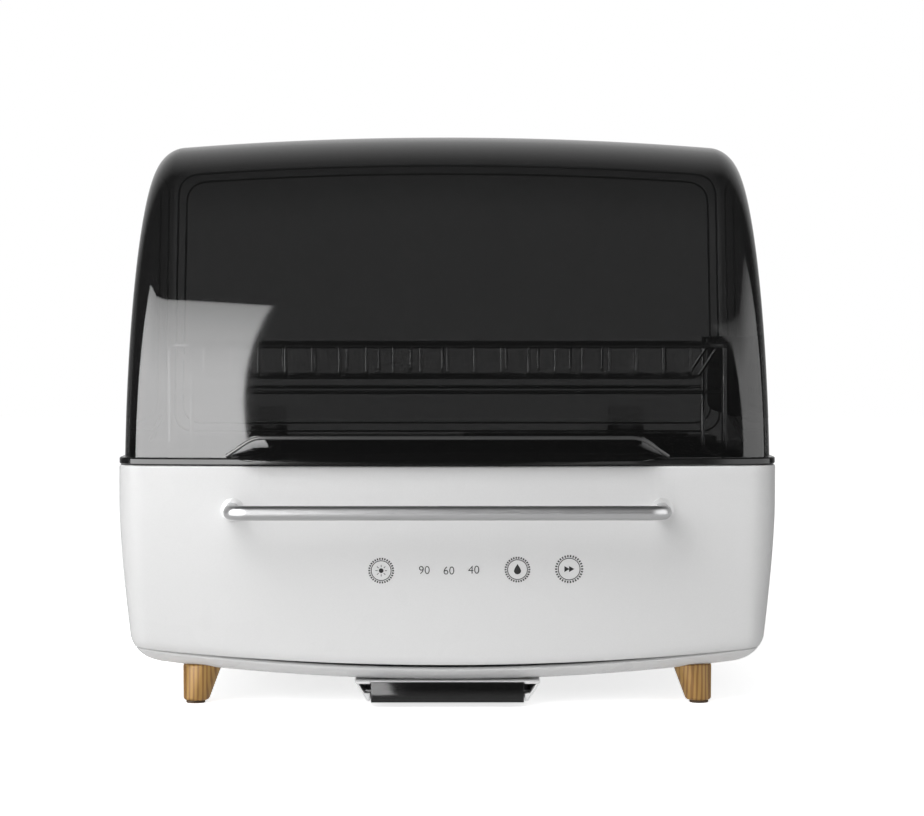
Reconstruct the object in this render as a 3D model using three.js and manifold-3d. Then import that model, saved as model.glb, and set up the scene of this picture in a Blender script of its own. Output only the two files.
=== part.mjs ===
// Dish sterilizer cabinet: a white base with a full-width drawer and a drip tray under it, a black deck
// with a wire dish rack and a cutlery basket, and a smoked dome lid hinged at the back.
// Millimetres, +Z up, the front faces -Y. The origin is under the middle of the whole box, on the table.
import * as THREE from "three";
import { mergeVertices } from "three/addons/utils/BufferGeometryUtils.js";
import Module from "manifold-3d";

const wasm = await Module();
wasm.setup();

// Cabinet body
const bodyWidth = 480;
const bodyDepth = 340;
const bodyTopZ = 175.5;
const frontBow = 18; // how far the middle of the front stands ahead of its corners
const frontCornerRadius = 24;
const rearCornerRadius = 12;
const leastCornerRadius = 4;
const skinWall = 3;
const topLipWidth = 10; // how far the mouldings turn in at the top
const sideTaper = 7.6; // how far the sides draw in between the two taper heights
const taperTopZ = 148;
const taperFootZ = 50;
const taperPower = 1.5;
const hullRoundWidth = 28;
const hullRoundHeight = 20;
const hullFootZ = 31; // underside of the hull out at its side edges
const bellyDrop = 12; // how far the middle of the hull hangs below its side edges
const bellySideRoom = 28; // from the body's side in to where the belly starts
const bellyFadeZ = 110;
const panTopZ = 39.4; // top edge of the base pan out at the sides
const revealMiddle = 4; // shadow gap over the pan at the middle of the front
const revealCorner = 1;

// Clearances
const seatGap = 0.3; // between pieces that touch
const runGap = 0.6; // between pieces that slide past each other
const lap = 0.5; // overlap of shapes that join into one piece
const overrun = 20; // how far a cutting shape reaches past what it cuts
const boreSides = 12;

// Lid
const lidRise = 247; // from the deck flange to the crest
const lidInset = 4; // from the flange's edge in to the lid's wall
const lidWall = 3;
const lidEdgeRadius = 20;
const lidRearEdgeRadius = 8;
const lidCrestSetback = 256; // from the lid's front face to the crest
const lidRearDrop = 11; // from the crest down to the rear top edge
const lidCrownDrop = 8.2; // from the middle down to crownHalfWidth
const crownHalfWidth = 218;
const lidDraftShare = 0.021; // sideways lean of the lid's sides per unit of height
const borderInset = 14; // the rear wall's sunk panel, in from the wall's edges
const borderDepth = 0.9;
const borderRadius = 16;

// Finger lip on the lid
const lipReach = 13;
const lipHeight = 19;
const lipHalfTop = 140;
const lipHalfFoot = 160;
const lipThickness = 2.4;
const lipDrop = 2; // how far the tip hangs below the lid's edge
// The lip's outline above its tip, of its reach and of its height
const lipShares = {
  flank: [0.55, 0.18],
  neck: [0.2, 0.5],
  hollow: [0.2, 0.22],
  seatHeight: 0.35,
};

// Deck tray
const flangeHeight = 5;
const flangeGap = 0.5; // over the drawer front and the body shell
const deckWall = 2.5;
const basinFloorZ = 173;
const basinMargin = 16;
const basinRadius = 14;
const shelfDepth = 57;
const shelfTopZ = 186;
const shelfRearGap = 13;
const flangeEdge = 0.8; // chamfer along the flange's edges
const drainRadius = 8;
const drainPipeWall = 1.5;
const drainSetback = 258;
const grilleSlots = 7;
const grilleSlotWidth = 5;
const grilleSlotLength = 30;
const grillePitch = 10;

// Drawer
const drawerWrap = 47; // how far the drawer front wraps round the corners
const partingGap = 1;
const boxSideRoom = 28; // from the body's side in to the drawer's box
const boxWall = 2.5;
const boxFloorZ = 52;
const boxTopZ = 158;
const boxFrontSetback = 18.5;
const boxBackSetback = 236;
const gridRise = 12;
const gridThickness = 2;
const gridSlotWidth = 8;
const gridPitch = 34;
const touchBoardX = [-60, 100];
const touchBoardZ = [94, 118];

// Handle
const barRadius = 5.2;
const barHalfSpan = 154.8; // to the middle of the end posts
const barReach = 28.8; // from the bow's front to the bar's axis
const barZ = 144;
const barBend = 13;
const rosetteRadius = 8.4;
const rosetteThickness = 1.4;
const screwRadius = 2;
const screwHeadRadius = 4;
const screwHeadHeight = 2.4;
const postSocketDepth = 9;

// Slides
const railHeight = 22;
const railZ = 84;
const railSteel = 1.2;
const railBoxWidth = 6;
const railEndRoom = 4; // from the slides' back ends to the bulkhead
const railSetback = 52;
const runnerHeight = 15;

// Drip tray and its bracket
const dripHalfWidth = 55.5;
const dripFloorZ = 3.6;
const dripTopZ = 15.8;
const dripFrontSetback = 13;
const dripLength = 262;
const dripWall = 1.8;
const dripStep = 0.5; // the tub stands in and up from the edges of its front plate
const dripRimWidth = 4.5;
const dripRimHeight = 2;
const dripRimDrop = 3.5;
const dripPlateThickness = 3;
const bracketHalfTop = 67.5;
const bracketHalfFoot = 58.2;
const bracketTopZ = 18.6;
const bracketFootZ = 4.6;
const bracketWall = 1.8;
const bracketSetback = 14;
const bracketLength = 270;
const bracketPlate = 1.6;

// Feet
const footTopRadius = 16.5;
const footEndRadius = 8.9;
const footInset = 62; // from the body's side in to the foot's middle
const footSetback = 46;
const footRearSetback = 290;
const footSplay = 7; // sideways, and half of it fore and aft
const footPadRadius = 7;
const footPadHeight = 1.6;
const footSides = 20;

// Hinges
const hingeInset = 90; // from the body's side in to the hinge's middle
const hingeAxisBehind = 3.3; // behind the body's back
const hingeAxisRise = 7; // above the flange's top
const knuckleRadius = 5;
const knuckleLength = 12;
const hingePinRadius = 2;
const hingeBore = 2.3;
const leafWidth = 30;
const leafHeight = 26;
const hingePlate = 2.2;
const hingePlateDrop = 34;
const strapFoot = [174, 185.5]; // setback and height of the polished strap's low end
const strapHead = [258, 205];
const strapWidth = 4.5;
const strapThickness = 1.4;

// Equipment bay behind the drawer
const bulkheadSetback = 246;
const bulkheadWall = 2.5;
const fanX = -62;
const fanZ = 98;
const fanRadius = 36;
const fanDepth = 34;
const fanWall = 2;
const fanPostRadius = 3;
const impellerRadius = 29;
const impellerBlades = 11;
const impellerDepth = 20;
const bladeRootShare = 0.62; // where the blades start, of the impeller's radius
const motorRadius = 13;
const motorDepth = 8;
const shaftRadius = 2;
const heaterHeight = 16;
const heaterSlots = 8;
const ductHalfWidth = 38;
const lampRadius = 7.75;
const lampLength = 180;
const lampSideRoom = 44; // from the body's side in to the lamp's end
const lampZ = 172;
const lampSetback = 300;
const holderThickness = 9;
const holderHeight = 22;
const holderDepth = 20;
const guardSlots = 8;
const guardPitch = 22;
const guardSlotWidth = 12;
const guardThickness = 1.6;
const boardSideRoom = 60; // from the body's side in to the board's edge
const boardZ = 92;
const boardWidth = 120;
const boardHeight = 64;
const boardThickness = 1.6;
const boardStandoff = 5;
const transformerDepth = 22;
const relayDepth = 15;
const capacitorHeight = 18;
const capacitorRadius = 7;
// Middles and sizes of what stands on the board, of its width and height
const transformerShares = { x: -1 / 4, z: 1 / 8, width: 1 / 4, height: 1 / 2 };
const relayShares = { x: 1 / 8, z: -1 / 5, width: 1 / 7, height: 1 / 4 };
const capacitorShares = [{ x: 1 / 8, z: 1 / 5 }, { x: 1 / 3, z: 1 / 5 }];
const inletInset = 54; // from the body's side in to the inlet's middle
const inletZ = 72;
const inletWidth = 27;
const inletHeight = 20;
const inletDepth = 22;
const inletRim = 3;
const coverHalfWidth = 130;
const coverFootZ = 62;
const coverTopZ = 150;
const coverThickness = 2.4;
const coverLip = 8;
const coverSlots = 9;
const coverSlotWidth = 4;
const coverSlotPitch = 9;
const coverSlotLength = 46;

// Lid switch
const switchSetback = 262;
const switchSize = [8, 20, 12];
const plungerRadius = 1.2;
const plungerTravel = 2;

// Dish rack
const rackSideRoom = 33; // from the body's side in to the rack's rail
const rackSetback = 64;
const rackDepth = 206;
const rackRailZ = 262;
const rackWire = 2.2;
const rackInnerWire = 2.05; // back half of the rail and the legs
const rackThin = 1.5;
const rackFloorZ = 239;
const rackLowZ = 227;
const rackCorner = 16;
const rackBend = 5;
const rackFrontPitch = 20;
const rackRearPitch = 26;
const rackRearShift = 9; // the rear row's middle, right of the cabinet's middle
const rackReach = 88; // how far a divider's foot runs in under the dishes
const rackCrossShare = 0.7; // where the lengthwise wires cross that foot
const wireSides = 6;
const thinSides = 5;

// Cutlery basket
const basketHalfDepth = 78;
const basketSetback = 172;
const basketWidth = 17.5;
const basketTopZ = 268;
const basketFootZ = 208;
const basketWall = 1.6;
const basketCorner = 8.4;
const basketHoles = 7;
const basketHolePitch = 19;
const basketHoleRadius = 3.4;

// Derived places
const barTip = barReach + barRadius;
const hingeTip = hingeAxisBehind + knuckleRadius;
const frontY = -(bodyDepth + barTip + hingeTip) / 2 + barTip;
const rearY = frontY + bodyDepth;
const halfBody = bodyWidth / 2;
const bellyHalfWidth = halfBody - bellySideRoom;
const boxHalfWidth = halfBody - boxSideRoom;
const footX = halfBody - footInset;
const hingeX = halfBody - hingeInset;
const lampX = halfBody - lampSideRoom - lampLength / 2;
const boardX = halfBody - boardSideRoom - boardWidth / 2;
const inletX = halfBody - inletInset;
const rackHalfWidth = halfBody - rackSideRoom;
const railLength = bulkheadSetback - railSetback - railEndRoom;
const flangeFootZ = bodyTopZ + flangeGap;
const flangeTopZ = flangeFootZ + flangeHeight;
const lidFootZ = flangeTopZ + seatGap;
const hingeY = rearY + hingeAxisBehind;
const hingeZ = flangeTopZ + hingeAxisRise;
const behind = (setback) => frontY + setback;
const bowAt = (x) => frontBow * (x / halfBody) ** 2;
const sides = { left: -1, right: 1 };

// Finishes
const finish = (color, roughness, metalness) => ({ color, roughness, metalness });
const whiteGloss = finish(0xe9e9e8, 0.25, 0);
const blackGloss = finish(0x161617, 0.25, 0);
const smoked = finish(0x1d1e20, 0.08, 0);
const brushedSteel = finish(0xb9babc, 0.35, 1);
const polishedSteel = finish(0xd9dadc, 0.15, 1);
const greySteel = finish(0x8f9194, 0.4, 1);
const greyPlastic = finish(0xc9cacb, 0.5, 0);
const darkPlastic = finish(0x2a2b2d, 0.6, 0);
const oak = finish(0xb98a48, 0.55, 0);
const rubber = finish(0x1b1b1b, 0.9, 0);
const greenBoard = finish(0x1f5a3a, 0.5, 0);
const lampGlass = finish(0xdfe6f2, 0.1, 0);
const ceramic = finish(0xd8cfc0, 0.7, 0);

const cabinet = new THREE.Group();

// A closed three.js geometry as a solid, placed in the cabinet's frame.
function solid(geometry, matrix = new THREE.Matrix4()) {
  const bare = geometry.clone().applyMatrix4(matrix);
  bare.deleteAttribute("normal");
  bare.deleteAttribute("uv");
  const merged = mergeVertices(bare, 1e-4);
  const mesh = { numProp: 3, vertProperties: merged.attributes.position.array };
  mesh.triVerts = Uint32Array.from(merged.index.array);
  const made = new wasm.Manifold(new wasm.Mesh(mesh));
  if (made.volume() > 0) return made;
  mesh.triVerts.reverse();
  return new wasm.Manifold(new wasm.Mesh(mesh));
}

const join = (first, ...rest) => rest.flat().reduce((sum, next) => sum.add(next), first);
const cut = (first, ...rest) => rest.flat().reduce((left, next) => left.subtract(next), first);
const steps = (count, make) => Array.from({ length: count }, (_, i) => make(i));
const spread = (count, pitch, make) => steps(count, (i) => make((i - (count - 1) / 2) * pitch));

// A box between two limits on each axis.
function block(x, y, z) {
  const size = [x, y, z].map(([low, high]) => high - low);
  const middle = [x, y, z].map(([low, high]) => (low + high) / 2);
  return solid(new THREE.BoxGeometry(...size), new THREE.Matrix4().makeTranslation(...middle));
}

const around = (middle, width) => [middle - width / 2, middle + width / 2];

// A round or tapered rod from one point to another.
function rod(from, to, radius, { endRadius = radius, sides: count = 16 } = {}) {
  const start = new THREE.Vector3(...from);
  const reach = new THREE.Vector3(...to).sub(start);
  const turn = new THREE.Quaternion().setFromUnitVectors(
    new THREE.Vector3(0, 1, 0),
    reach.clone().normalize(),
  );
  const middle = start.clone().addScaledVector(reach, 1 / 2);
  const shape = new THREE.CylinderGeometry(endRadius, radius, reach.length(), count);
  return solid(shape, new THREE.Matrix4().compose(middle, turn, new THREE.Vector3(1, 1, 1)));
}

// A path that visits its points one step at a time and turns halfway at each.
class BentPath extends THREE.Curve {
  constructor(points) {
    super();
    this.points = points;
  }

  getPointAt(share) {
    const place = share * (this.points.length - 1);
    const index = Math.min(Math.floor(place), this.points.length - 2);
    return this.points[index].clone().lerp(this.points[index + 1], place - index);
  }

  getTangentAt(share) {
    const index = Math.round(share * (this.points.length - 1));
    const last = this.points.length - 1;
    const directions = [[index - 1, index], [index, index + 1]]
      .filter(([from, to]) => from >= 0 && to <= last)
      .map(([from, to]) => this.points[to].clone().sub(this.points[from]).normalize());
    return directions.reduce((sum, next) => sum.add(next)).normalize();
  }
}

// A wire through its corners, with a round bend at each one inside its run.
function wire(corners, radius, bend, count = wireSides, bendSteps = 3) {
  const points = corners.map((corner) => new THREE.Vector3(...corner));
  const bends = points.slice(1, -1).flatMap((corner, i) => {
    const back = points[i].clone().sub(corner).setLength(bend).add(corner);
    const ahead = points[i + 2].clone().sub(corner).setLength(bend).add(corner);
    return new THREE.QuadraticBezierCurve3(back, corner, ahead).getPoints(bendSteps);
  });
  const path = new BentPath([points[0], ...bends, points.at(-1)]);
  const section = new THREE.Shape(steps(count, (i) => {
    const angle = (2 * Math.PI * i) / count;
    return new THREE.Vector2(Math.cos(angle), Math.sin(angle)).multiplyScalar(radius);
  }));
  const steady = { steps: path.points.length - 1, extrudePath: path, bevelEnabled: false };
  return solid(new THREE.ExtrudeGeometry(section, steady));
}

// An outline drawn across two axes and carried along the third from one limit to the other.
function prism(outline, axis, [low, high], holes = []) {
  const shape = new THREE.Shape(outline.map(([u, v]) => new THREE.Vector2(u, v)));
  shape.holes = holes.map((hole) => new THREE.Path(hole.map(([u, v]) => new THREE.Vector2(u, v))));
  const shaped = new THREE.ExtrudeGeometry(shape, { depth: high - low, bevelEnabled: false });
  shaped.translate(0, 0, low);
  const turn = {
    x: new THREE.Matrix4().set(0, 0, 1, 0, 1, 0, 0, 0, 0, 1, 0, 0, 0, 0, 0, 1),
    y: new THREE.Matrix4().set(1, 0, 0, 0, 0, 0, 1, 0, 0, 1, 0, 0, 0, 0, 0, 1),
    z: new THREE.Matrix4(),
  }[axis];
  return solid(shaped, turn);
}

// A rectangle's outline with round corners.
function roundedRectangle([left, right], [low, high], radius, count = 4) {
  const corners = [
    [right - radius, high - radius, 0],
    [left + radius, high - radius, 1],
    [left + radius, low + radius, 2],
    [right - radius, low + radius, 3],
  ];
  return corners.flatMap(([x, y, quarter]) => steps(count + 1, (i) => {
    const angle = ((quarter + i / count) * Math.PI) / 2;
    return [x + radius * Math.cos(angle), y + radius * Math.sin(angle)];
  }));
}

// A closed surface through rings of as many points each, with each end closed across its own ring.
function loft(rings) {
  const count = rings[0].length;
  const positions = rings.flat(2);
  const faces = [];
  rings.slice(1).forEach((_, k) => steps(count, (i) => {
    const [a, b] = [k * count + i, k * count + ((i + 1) % count)];
    faces.push(a, b, b + count, a, b + count, a + count);
  }));
  const last = (rings.length - 1) * count;
  steps(count / 2 - 1, (i) => {
    const across = [i, i + 1, count - 2 - i, count - 1 - i];
    faces.push(across[0], across[2], across[1], across[0], across[3], across[2]);
    const [a, b, c, d] = across.map((index) => index + last);
    faces.push(a, b, c, a, c, d);
  });
  const geometry = new THREE.BufferGeometry();
  geometry.setAttribute("position", new THREE.Float32BufferAttribute(positions, 3));
  geometry.setIndex(faces);
  return solid(geometry);
}

// The cabinet's plan outline, drawn in by an inset: along the bowed front, then back along the rear.
const frontSteps = 12;
const cornerSteps = 4;
function planLoop(inset, rearInset = inset) {
  const half = halfBody - inset;
  const near = Math.max(frontCornerRadius - inset, leastCornerRadius);
  const far = Math.max(rearCornerRadius - rearInset, leastCornerRadius);
  const lean = Math.atan((2 * frontBow * (half - near)) / halfBody ** 2);
  const start = half - near + near * Math.sin(lean);
  const nearY = frontY + inset + bowAt(start) + near * Math.cos(lean);
  const farY = rearY - rearInset - far;
  const corner = steps(cornerSteps + 1, (i) => {
    const angle = (-Math.PI / 2 + lean) * (1 - i / cornerSteps);
    return [half - near + near * Math.cos(angle), nearY + near * Math.sin(angle)];
  });
  const front = steps(frontSteps - 1, (i) => {
    const x = start * ((2 * (i + 1)) / frontSteps - 1);
    return [x, frontY + inset + bowAt(x)];
  });
  const rearCorner = steps(cornerSteps + 1, (i) => {
    const angle = (Math.PI / 2) * (i / cornerSteps);
    return [half - far + far * Math.cos(angle), farY + far * Math.sin(angle)];
  });
  const rear = steps(frontSteps - 1, (i) => {
    const x = (half - far) * (1 - (2 * (i + 1)) / frontSteps);
    return [x, rearY - rearInset];
  });
  const mirror = (points) => points.map(([x, y]) => [-x, y]).reverse();
  return [...mirror(corner), ...front, ...corner, ...rearCorner, ...rear, ...mirror(rearCorner)];
}

// How far the hull's bottom edge is rounded in at a height, and how far its sides taper in.
function roundIn(z) {
  const drop = THREE.MathUtils.clamp((taperFootZ - z) / hullRoundHeight, 0, 1);
  return hullRoundWidth * (1 - Math.sqrt(1 - drop ** 2));
}

function taperIn(z) {
  const share = THREE.MathUtils.clamp((taperTopZ - z) / (taperTopZ - taperFootZ), 0, 1);
  return sideTaper * share ** taperPower;
}

// How far the belly lowers a point of the hull.
function bellyAt(x, z) {
  const fade = THREE.MathUtils.clamp((bellyFadeZ - z) / (bellyFadeZ - taperFootZ), 0, 1);
  return bellyDrop * (1 - (x / bellyHalfWidth) ** 2) * fade;
}

const roundShares = [0.12, 0.3, 0.42, 0.7];
const taperShares = [0.2, 0.42];
const hullLevels = [
  hullFootZ,
  ...roundShares.map((share) => THREE.MathUtils.lerp(hullFootZ, taperFootZ, share)),
  taperFootZ,
  ...taperShares.map((share) => THREE.MathUtils.lerp(taperFootZ, taperTopZ, share)),
  bellyFadeZ,
  taperTopZ,
];
function hull(wall, topZ, footZ = hullFootZ) {
  const levels = [footZ, ...hullLevels.filter((z) => z > footZ && z < topZ), topZ];
  return loft(levels.map((z) => {
    const rounded = roundIn(Math.max(z, hullFootZ)) + wall;
    return planLoop(rounded + taperIn(z), rounded).map(([x, y]) => [x, y, z - bellyAt(x, z)]);
  }));
}

// The space over a curved line that follows the belly, for parting the pan from what is over it.
function overReveal(level, gapMiddle, gapSide) {
  const count = 24;
  const edge = spread(count + 1, (bodyWidth + overrun) / count, (x) => {
    const share = Math.min((x / bellyHalfWidth) ** 2, 1);
    return [x, level - bellyAt(x, level) + gapMiddle + (gapSide - gapMiddle) * share];
  });
  const outline = [...edge, [edge.at(-1)[0], bodyTopZ + overrun], [edge[0][0], bodyTopZ + overrun]];
  return prism(outline, "y", [frontY - overrun, rearY + overrun]);
}

function piece(name, shape, look) {
  const mesh = shape.getMesh();
  const geometry = new THREE.BufferGeometry();
  geometry.setAttribute("position", new THREE.BufferAttribute(mesh.vertProperties, 3));
  geometry.setIndex(new THREE.BufferAttribute(mesh.triVerts, 1));
  geometry.computeVertexNormals();
  const made = new THREE.Mesh(geometry, new THREE.MeshStandardMaterial(look));
  made.name = name;
  cabinet.add(made);
}

// Base mouldings
const aheadOf = (setback) => block(
  [-bodyWidth, bodyWidth],
  [frontY - bodyDepth, behind(setback)],
  [-overrun, bodyTopZ + overrun],
);
const skinInside = hull(skinWall, bodyTopZ - skinWall, hullFootZ + skinWall);
const skin = cut(hull(0, bodyTopZ), skinInside, hull(topLipWidth, bodyTopZ + overrun, taperTopZ));
const fitted = (shape) => shape.intersect(
  hull(skinWall + seatGap, bodyTopZ - skinWall - seatGap, hullFootZ + skinWall + seatGap),
);
const drainY = behind(drainSetback);
const pipeRadius = drainRadius + seatGap;

function basePan() {
  const drainHole = rod([0, drainY, 0], [0, drainY, panTopZ], pipeRadius + seatGap);
  const inside = hull(skinWall, panTopZ + overrun, hullFootZ + skinWall);
  return cut(hull(0, panTopZ), inside, drainHole);
}

const switchX = halfBody - lidInset - lidWall / 2;
const switchY = behind(switchSetback);
const plungerHole = rod(
  [switchX, switchY, bodyTopZ - overrun],
  [switchX, switchY, flangeTopZ + overrun],
  plungerRadius + runGap,
  { sides: boreSides },
);

const coverScrewPlaces = [-1, 1].flatMap((side) => [
  [side * (coverHalfWidth - coverLip / 2), coverFootZ + coverLip / 2 + screwHeadRadius],
  [side * (coverHalfWidth - coverLip / 2), coverTopZ - coverLip / 2 - screwHeadRadius],
]);

const coverScrewHoles = () => coverScrewPlaces.map(([x, z]) =>
  rod([x, rearY - overrun, z], [x, rearY + overrun, z], screwRadius + seatGap, { sides: boreSides }));

function bodyShell() {
  const window = block(
    [-coverHalfWidth + coverLip, coverHalfWidth - coverLip],
    [rearY - overrun, rearY + overrun],
    [coverFootZ + coverLip, coverTopZ - coverLip],
  );
  const inletHole = block(
    around(inletX, inletWidth + 2 * seatGap),
    [rearY - overrun, rearY + overrun],
    around(inletZ, inletHeight + 2 * seatGap),
  );
  return cut(
    skin.intersect(overReveal(panTopZ, seatGap, seatGap)),
    aheadOf(drawerWrap + partingGap),
    window,
    coverScrewHoles(),
    inletHole,
    plungerHole,
  );
}

function rearCover() {
  const [low, high] = [rearY + seatGap, rearY + seatGap + coverThickness];
  const plate = prism(
    roundedRectangle([-coverHalfWidth, coverHalfWidth], [coverFootZ, coverTopZ], coverLip),
    "y",
    [low, high],
  );
  const middleZ = (coverFootZ + coverTopZ) / 2;
  const slots = spread(coverSlots, coverSlotPitch, (x) => block(
    around(fanX + x, coverSlotWidth),
    [low - overrun, high + overrun],
    around(middleZ, coverSlotLength),
  ));
  return cut(plate, slots, coverScrewHoles());
}

function bulkhead() {
  const plate = block(
    [-halfBody, halfBody],
    [behind(bulkheadSetback), behind(bulkheadSetback + bulkheadWall)],
    [0, bodyTopZ],
  );
  return fitted(plate).intersect(block(
    [-halfBody, halfBody],
    [frontY, rearY],
    [0, basinFloorZ - deckWall - seatGap],
  ));
}

const ordered = (one, other) => [Math.min(one, other), Math.max(one, other)];

function slideRail(side) {
  const from = side * (boxHalfWidth + runGap);
  const to = from + side * railBoxWidth;
  const along = [behind(railSetback), behind(railSetback + railLength)];
  const channel = cut(
    block(ordered(from, to), along, around(railZ, railHeight)),
    block(
      ordered(from - side * lap, to - side * railSteel),
      [along[0] - overrun, along[1] - railSteel],
      around(railZ, railHeight - 2 * railSteel),
    ),
  );
  const feet = [along[0] + railHeight, along[1] - railHeight].map((y) => fitted(block(
    ordered(to - side * lap, side * (halfBody + lap)),
    around(y, railHeight),
    around(railZ, railHeight - 2 * railSteel),
  )));
  return join(channel, feet);
}

function slideRunner(side) {
  const from = side * (boxHalfWidth + seatGap);
  const to = side * (boxHalfWidth + railBoxWidth - railSteel);
  return block(
    ordered(from, to),
    [behind(railSetback), behind(railSetback + railLength) - railSteel - runGap],
    around(railZ, runnerHeight),
  );
}

// Deck
function deckTray() {
  const flange = loft([
    [flangeEdge, flangeFootZ],
    [0, flangeFootZ + flangeEdge],
    [0, flangeTopZ - flangeEdge],
    [flangeEdge, flangeTopZ],
  ].map(([inset, z]) => planLoop(inset).map(([x, y]) => [x, y, z])));
  const basin = (inset, footZ, topZ) => loft(
    [footZ, topZ].map((z) => planLoop(basinMargin + inset).map(([x, y]) => [x, y, z])),
  );
  const shelfY = [rearY - shelfRearGap - shelfDepth, rearY - shelfRearGap];
  const shelfHalf = halfBody - basinMargin - deckWall;
  const shelf = (inset, z) => prism(
    roundedRectangle(
      [-shelfHalf + inset, shelfHalf - inset],
      [shelfY[0] + inset, shelfY[1] - inset],
      basinRadius - inset,
    ),
    "z",
    z,
  );
  const tub = basin(-deckWall, basinFloorZ - deckWall, flangeTopZ - flangeEdge)
    .intersect(aheadOf(bodyDepth - shelfRearGap - shelfDepth + deckWall));
  const grille = spread(grilleSlots, grillePitch, (x) => block(
    around(fanX + x, grilleSlotWidth),
    around(ductY, grilleSlotLength - 2 * deckWall),
    [flangeTopZ - overrun, shelfTopZ + overrun],
  ));
  const lampWindow = block(
    around(lampX, lampLength),
    around(behind(lampSetback), 2 * (lampRadius + deckWall)),
    [flangeTopZ - overrun, shelfTopZ + overrun],
  );
  const drain = rod([0, drainY, 0], [0, drainY, flangeTopZ], drainRadius - drainPipeWall);
  return cut(
    join(
      cut(join(flange, tub), basin(0, basinFloorZ, flangeTopZ + overrun)
        .intersect(aheadOf(bodyDepth - shelfRearGap - shelfDepth))),
      shelf(0, [flangeFootZ, shelfTopZ]),
    ),
    shelf(deckWall, [flangeFootZ - overrun, shelfTopZ - deckWall]),
    grille,
    lampWindow,
    drain,
    plungerHole,
  );
}

function lampGuard() {
  const z = [shelfTopZ + seatGap, shelfTopZ + seatGap + guardThickness];
  const y = around(behind(lampSetback), 2 * (lampRadius + 2 * deckWall));
  const plate = block(around(lampX, lampLength + 2 * deckWall), y, z);
  return cut(plate, spread(guardSlots, guardPitch, (x) => block(
    around(lampX + x, guardSlotWidth),
    around(behind(lampSetback), 2 * lampRadius),
    [z[0] - overrun, z[1] + overrun],
  )));
}

function drainPipe() {
  const topZ = basinFloorZ - deckWall - seatGap;
  const collar = [topZ - drainPipeWall, topZ];
  const tube = join(
    rod([0, drainY, dripTopZ + partingGap], [0, drainY, topZ], drainRadius),
    rod([0, drainY, collar[0]], [0, drainY, collar[1]], drainRadius + drainPipeWall),
  );
  return cut(tube, rod([0, drainY, 0], [0, drainY, bodyTopZ], drainRadius - drainPipeWall));
}

// Feet
const footPlaces = [footSetback, footRearSetback].flatMap((setback, row) => [-1, 1].map((side) => ({
  top: [side * footX, behind(setback)],
  end: [side * (footX + footSplay), behind(setback) + (row ? 1 : -1) * (footSplay / 2)],
})));

function foot({ top, end }) {
  const footZ = footPadHeight + seatGap;
  const cone = rod([...end, 0], [...top, panTopZ], footEndRadius, {
    endRadius: footTopRadius,
    sides: footSides,
  });
  const room = block(
    [-halfBody, halfBody],
    [frontY - overrun, rearY + overrun],
    [footZ, panTopZ],
  );
  return cut(cone.intersect(room), hull(-seatGap, panTopZ + overrun, hullFootZ - seatGap));
}

const footPad = ({ end }) => rod([...end, 0], [...end, footPadHeight], footPadRadius);

// Drip tray and bracket
function dripBracket() {
  const y = [behind(bracketSetback), behind(bracketSetback + bracketLength)];
  const outer = [
    [-bracketHalfTop, bracketTopZ],
    [-bracketHalfFoot, bracketFootZ],
    [bracketHalfFoot, bracketFootZ],
    [bracketHalfTop, bracketTopZ],
  ];
  const ledgeTopZ = dripTopZ - dripRimDrop - dripRimHeight - seatGap;
  const slope = (bracketHalfTop - bracketHalfFoot) / (bracketTopZ - bracketFootZ);
  const halfAt = (z) => bracketHalfFoot - bracketWall + slope * (z - bracketFootZ);
  const underPlateZ = bracketTopZ - bracketPlate;
  const ledgeHalf = dripHalfWidth + runGap;
  const room = [
    [-halfAt(underPlateZ), underPlateZ],
    [-halfAt(ledgeTopZ), ledgeTopZ],
    [-ledgeHalf, ledgeTopZ],
    [-ledgeHalf, bracketFootZ - overrun],
    [ledgeHalf, bracketFootZ - overrun],
    [ledgeHalf, ledgeTopZ],
    [halfAt(ledgeTopZ), ledgeTopZ],
    [halfAt(underPlateZ), underPlateZ],
  ];
  const plateY = [behind(dripFrontSetback), behind(dripFrontSetback) + dripPlateThickness];
  return cut(
    prism(outer, "y", y),
    prism(room, "y", [y[0] - overrun, y[1] + overrun]),
    block(
      [-ledgeHalf, ledgeHalf],
      [plateY[0] - overrun, plateY[1] + partingGap],
      [0, bracketTopZ + overrun],
    ),
    rod([0, drainY, 0], [0, drainY, bodyTopZ], pipeRadius + seatGap),
  );
}

function dripTray() {
  const y = [behind(dripFrontSetback), behind(dripFrontSetback + dripLength)];
  const rimZ = [dripTopZ - dripRimDrop - dripRimHeight, dripTopZ - dripRimDrop];
  const tubHalf = dripHalfWidth - dripStep;
  const tub = block([-tubHalf, tubHalf], [y[0] + dripWall, y[1]], [dripFloorZ + dripStep, dripTopZ]);
  const rim = block(
    [-dripHalfWidth - dripRimWidth, dripHalfWidth + dripRimWidth],
    [y[0] + dripPlateThickness + 2 * partingGap, y[1] - dripStep],
    rimZ,
  );
  const plate = block(
    [-dripHalfWidth, dripHalfWidth],
    [y[0], y[0] + dripPlateThickness],
    [dripFloorZ, bracketTopZ - seatGap],
  );
  const inside = block(
    [-dripHalfWidth + dripWall, dripHalfWidth - dripWall],
    [y[0] + dripPlateThickness - dripStep, y[1] - dripWall],
    [dripFloorZ + dripStep + dripWall, bracketTopZ + overrun],
  );
  return cut(join(tub, rim, plate), inside);
}

// Equipment bay
const bayY = behind(bulkheadSetback + bulkheadWall) + seatGap;
const fanY = rearY - shelfRearGap - shelfDepth + deckWall + seatGap;
const ductY = fanY + fanDepth / 2;
const alongY = (from, to, radius, options) =>
  rod([fanX, from, fanZ], [fanX, to, fanZ], radius, { sides: 32, ...options });
const ductTopZ = shelfTopZ - deckWall - seatGap;
const heaterZ = [ductTopZ - 2 * heaterHeight, ductTopZ - heaterHeight];

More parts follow.
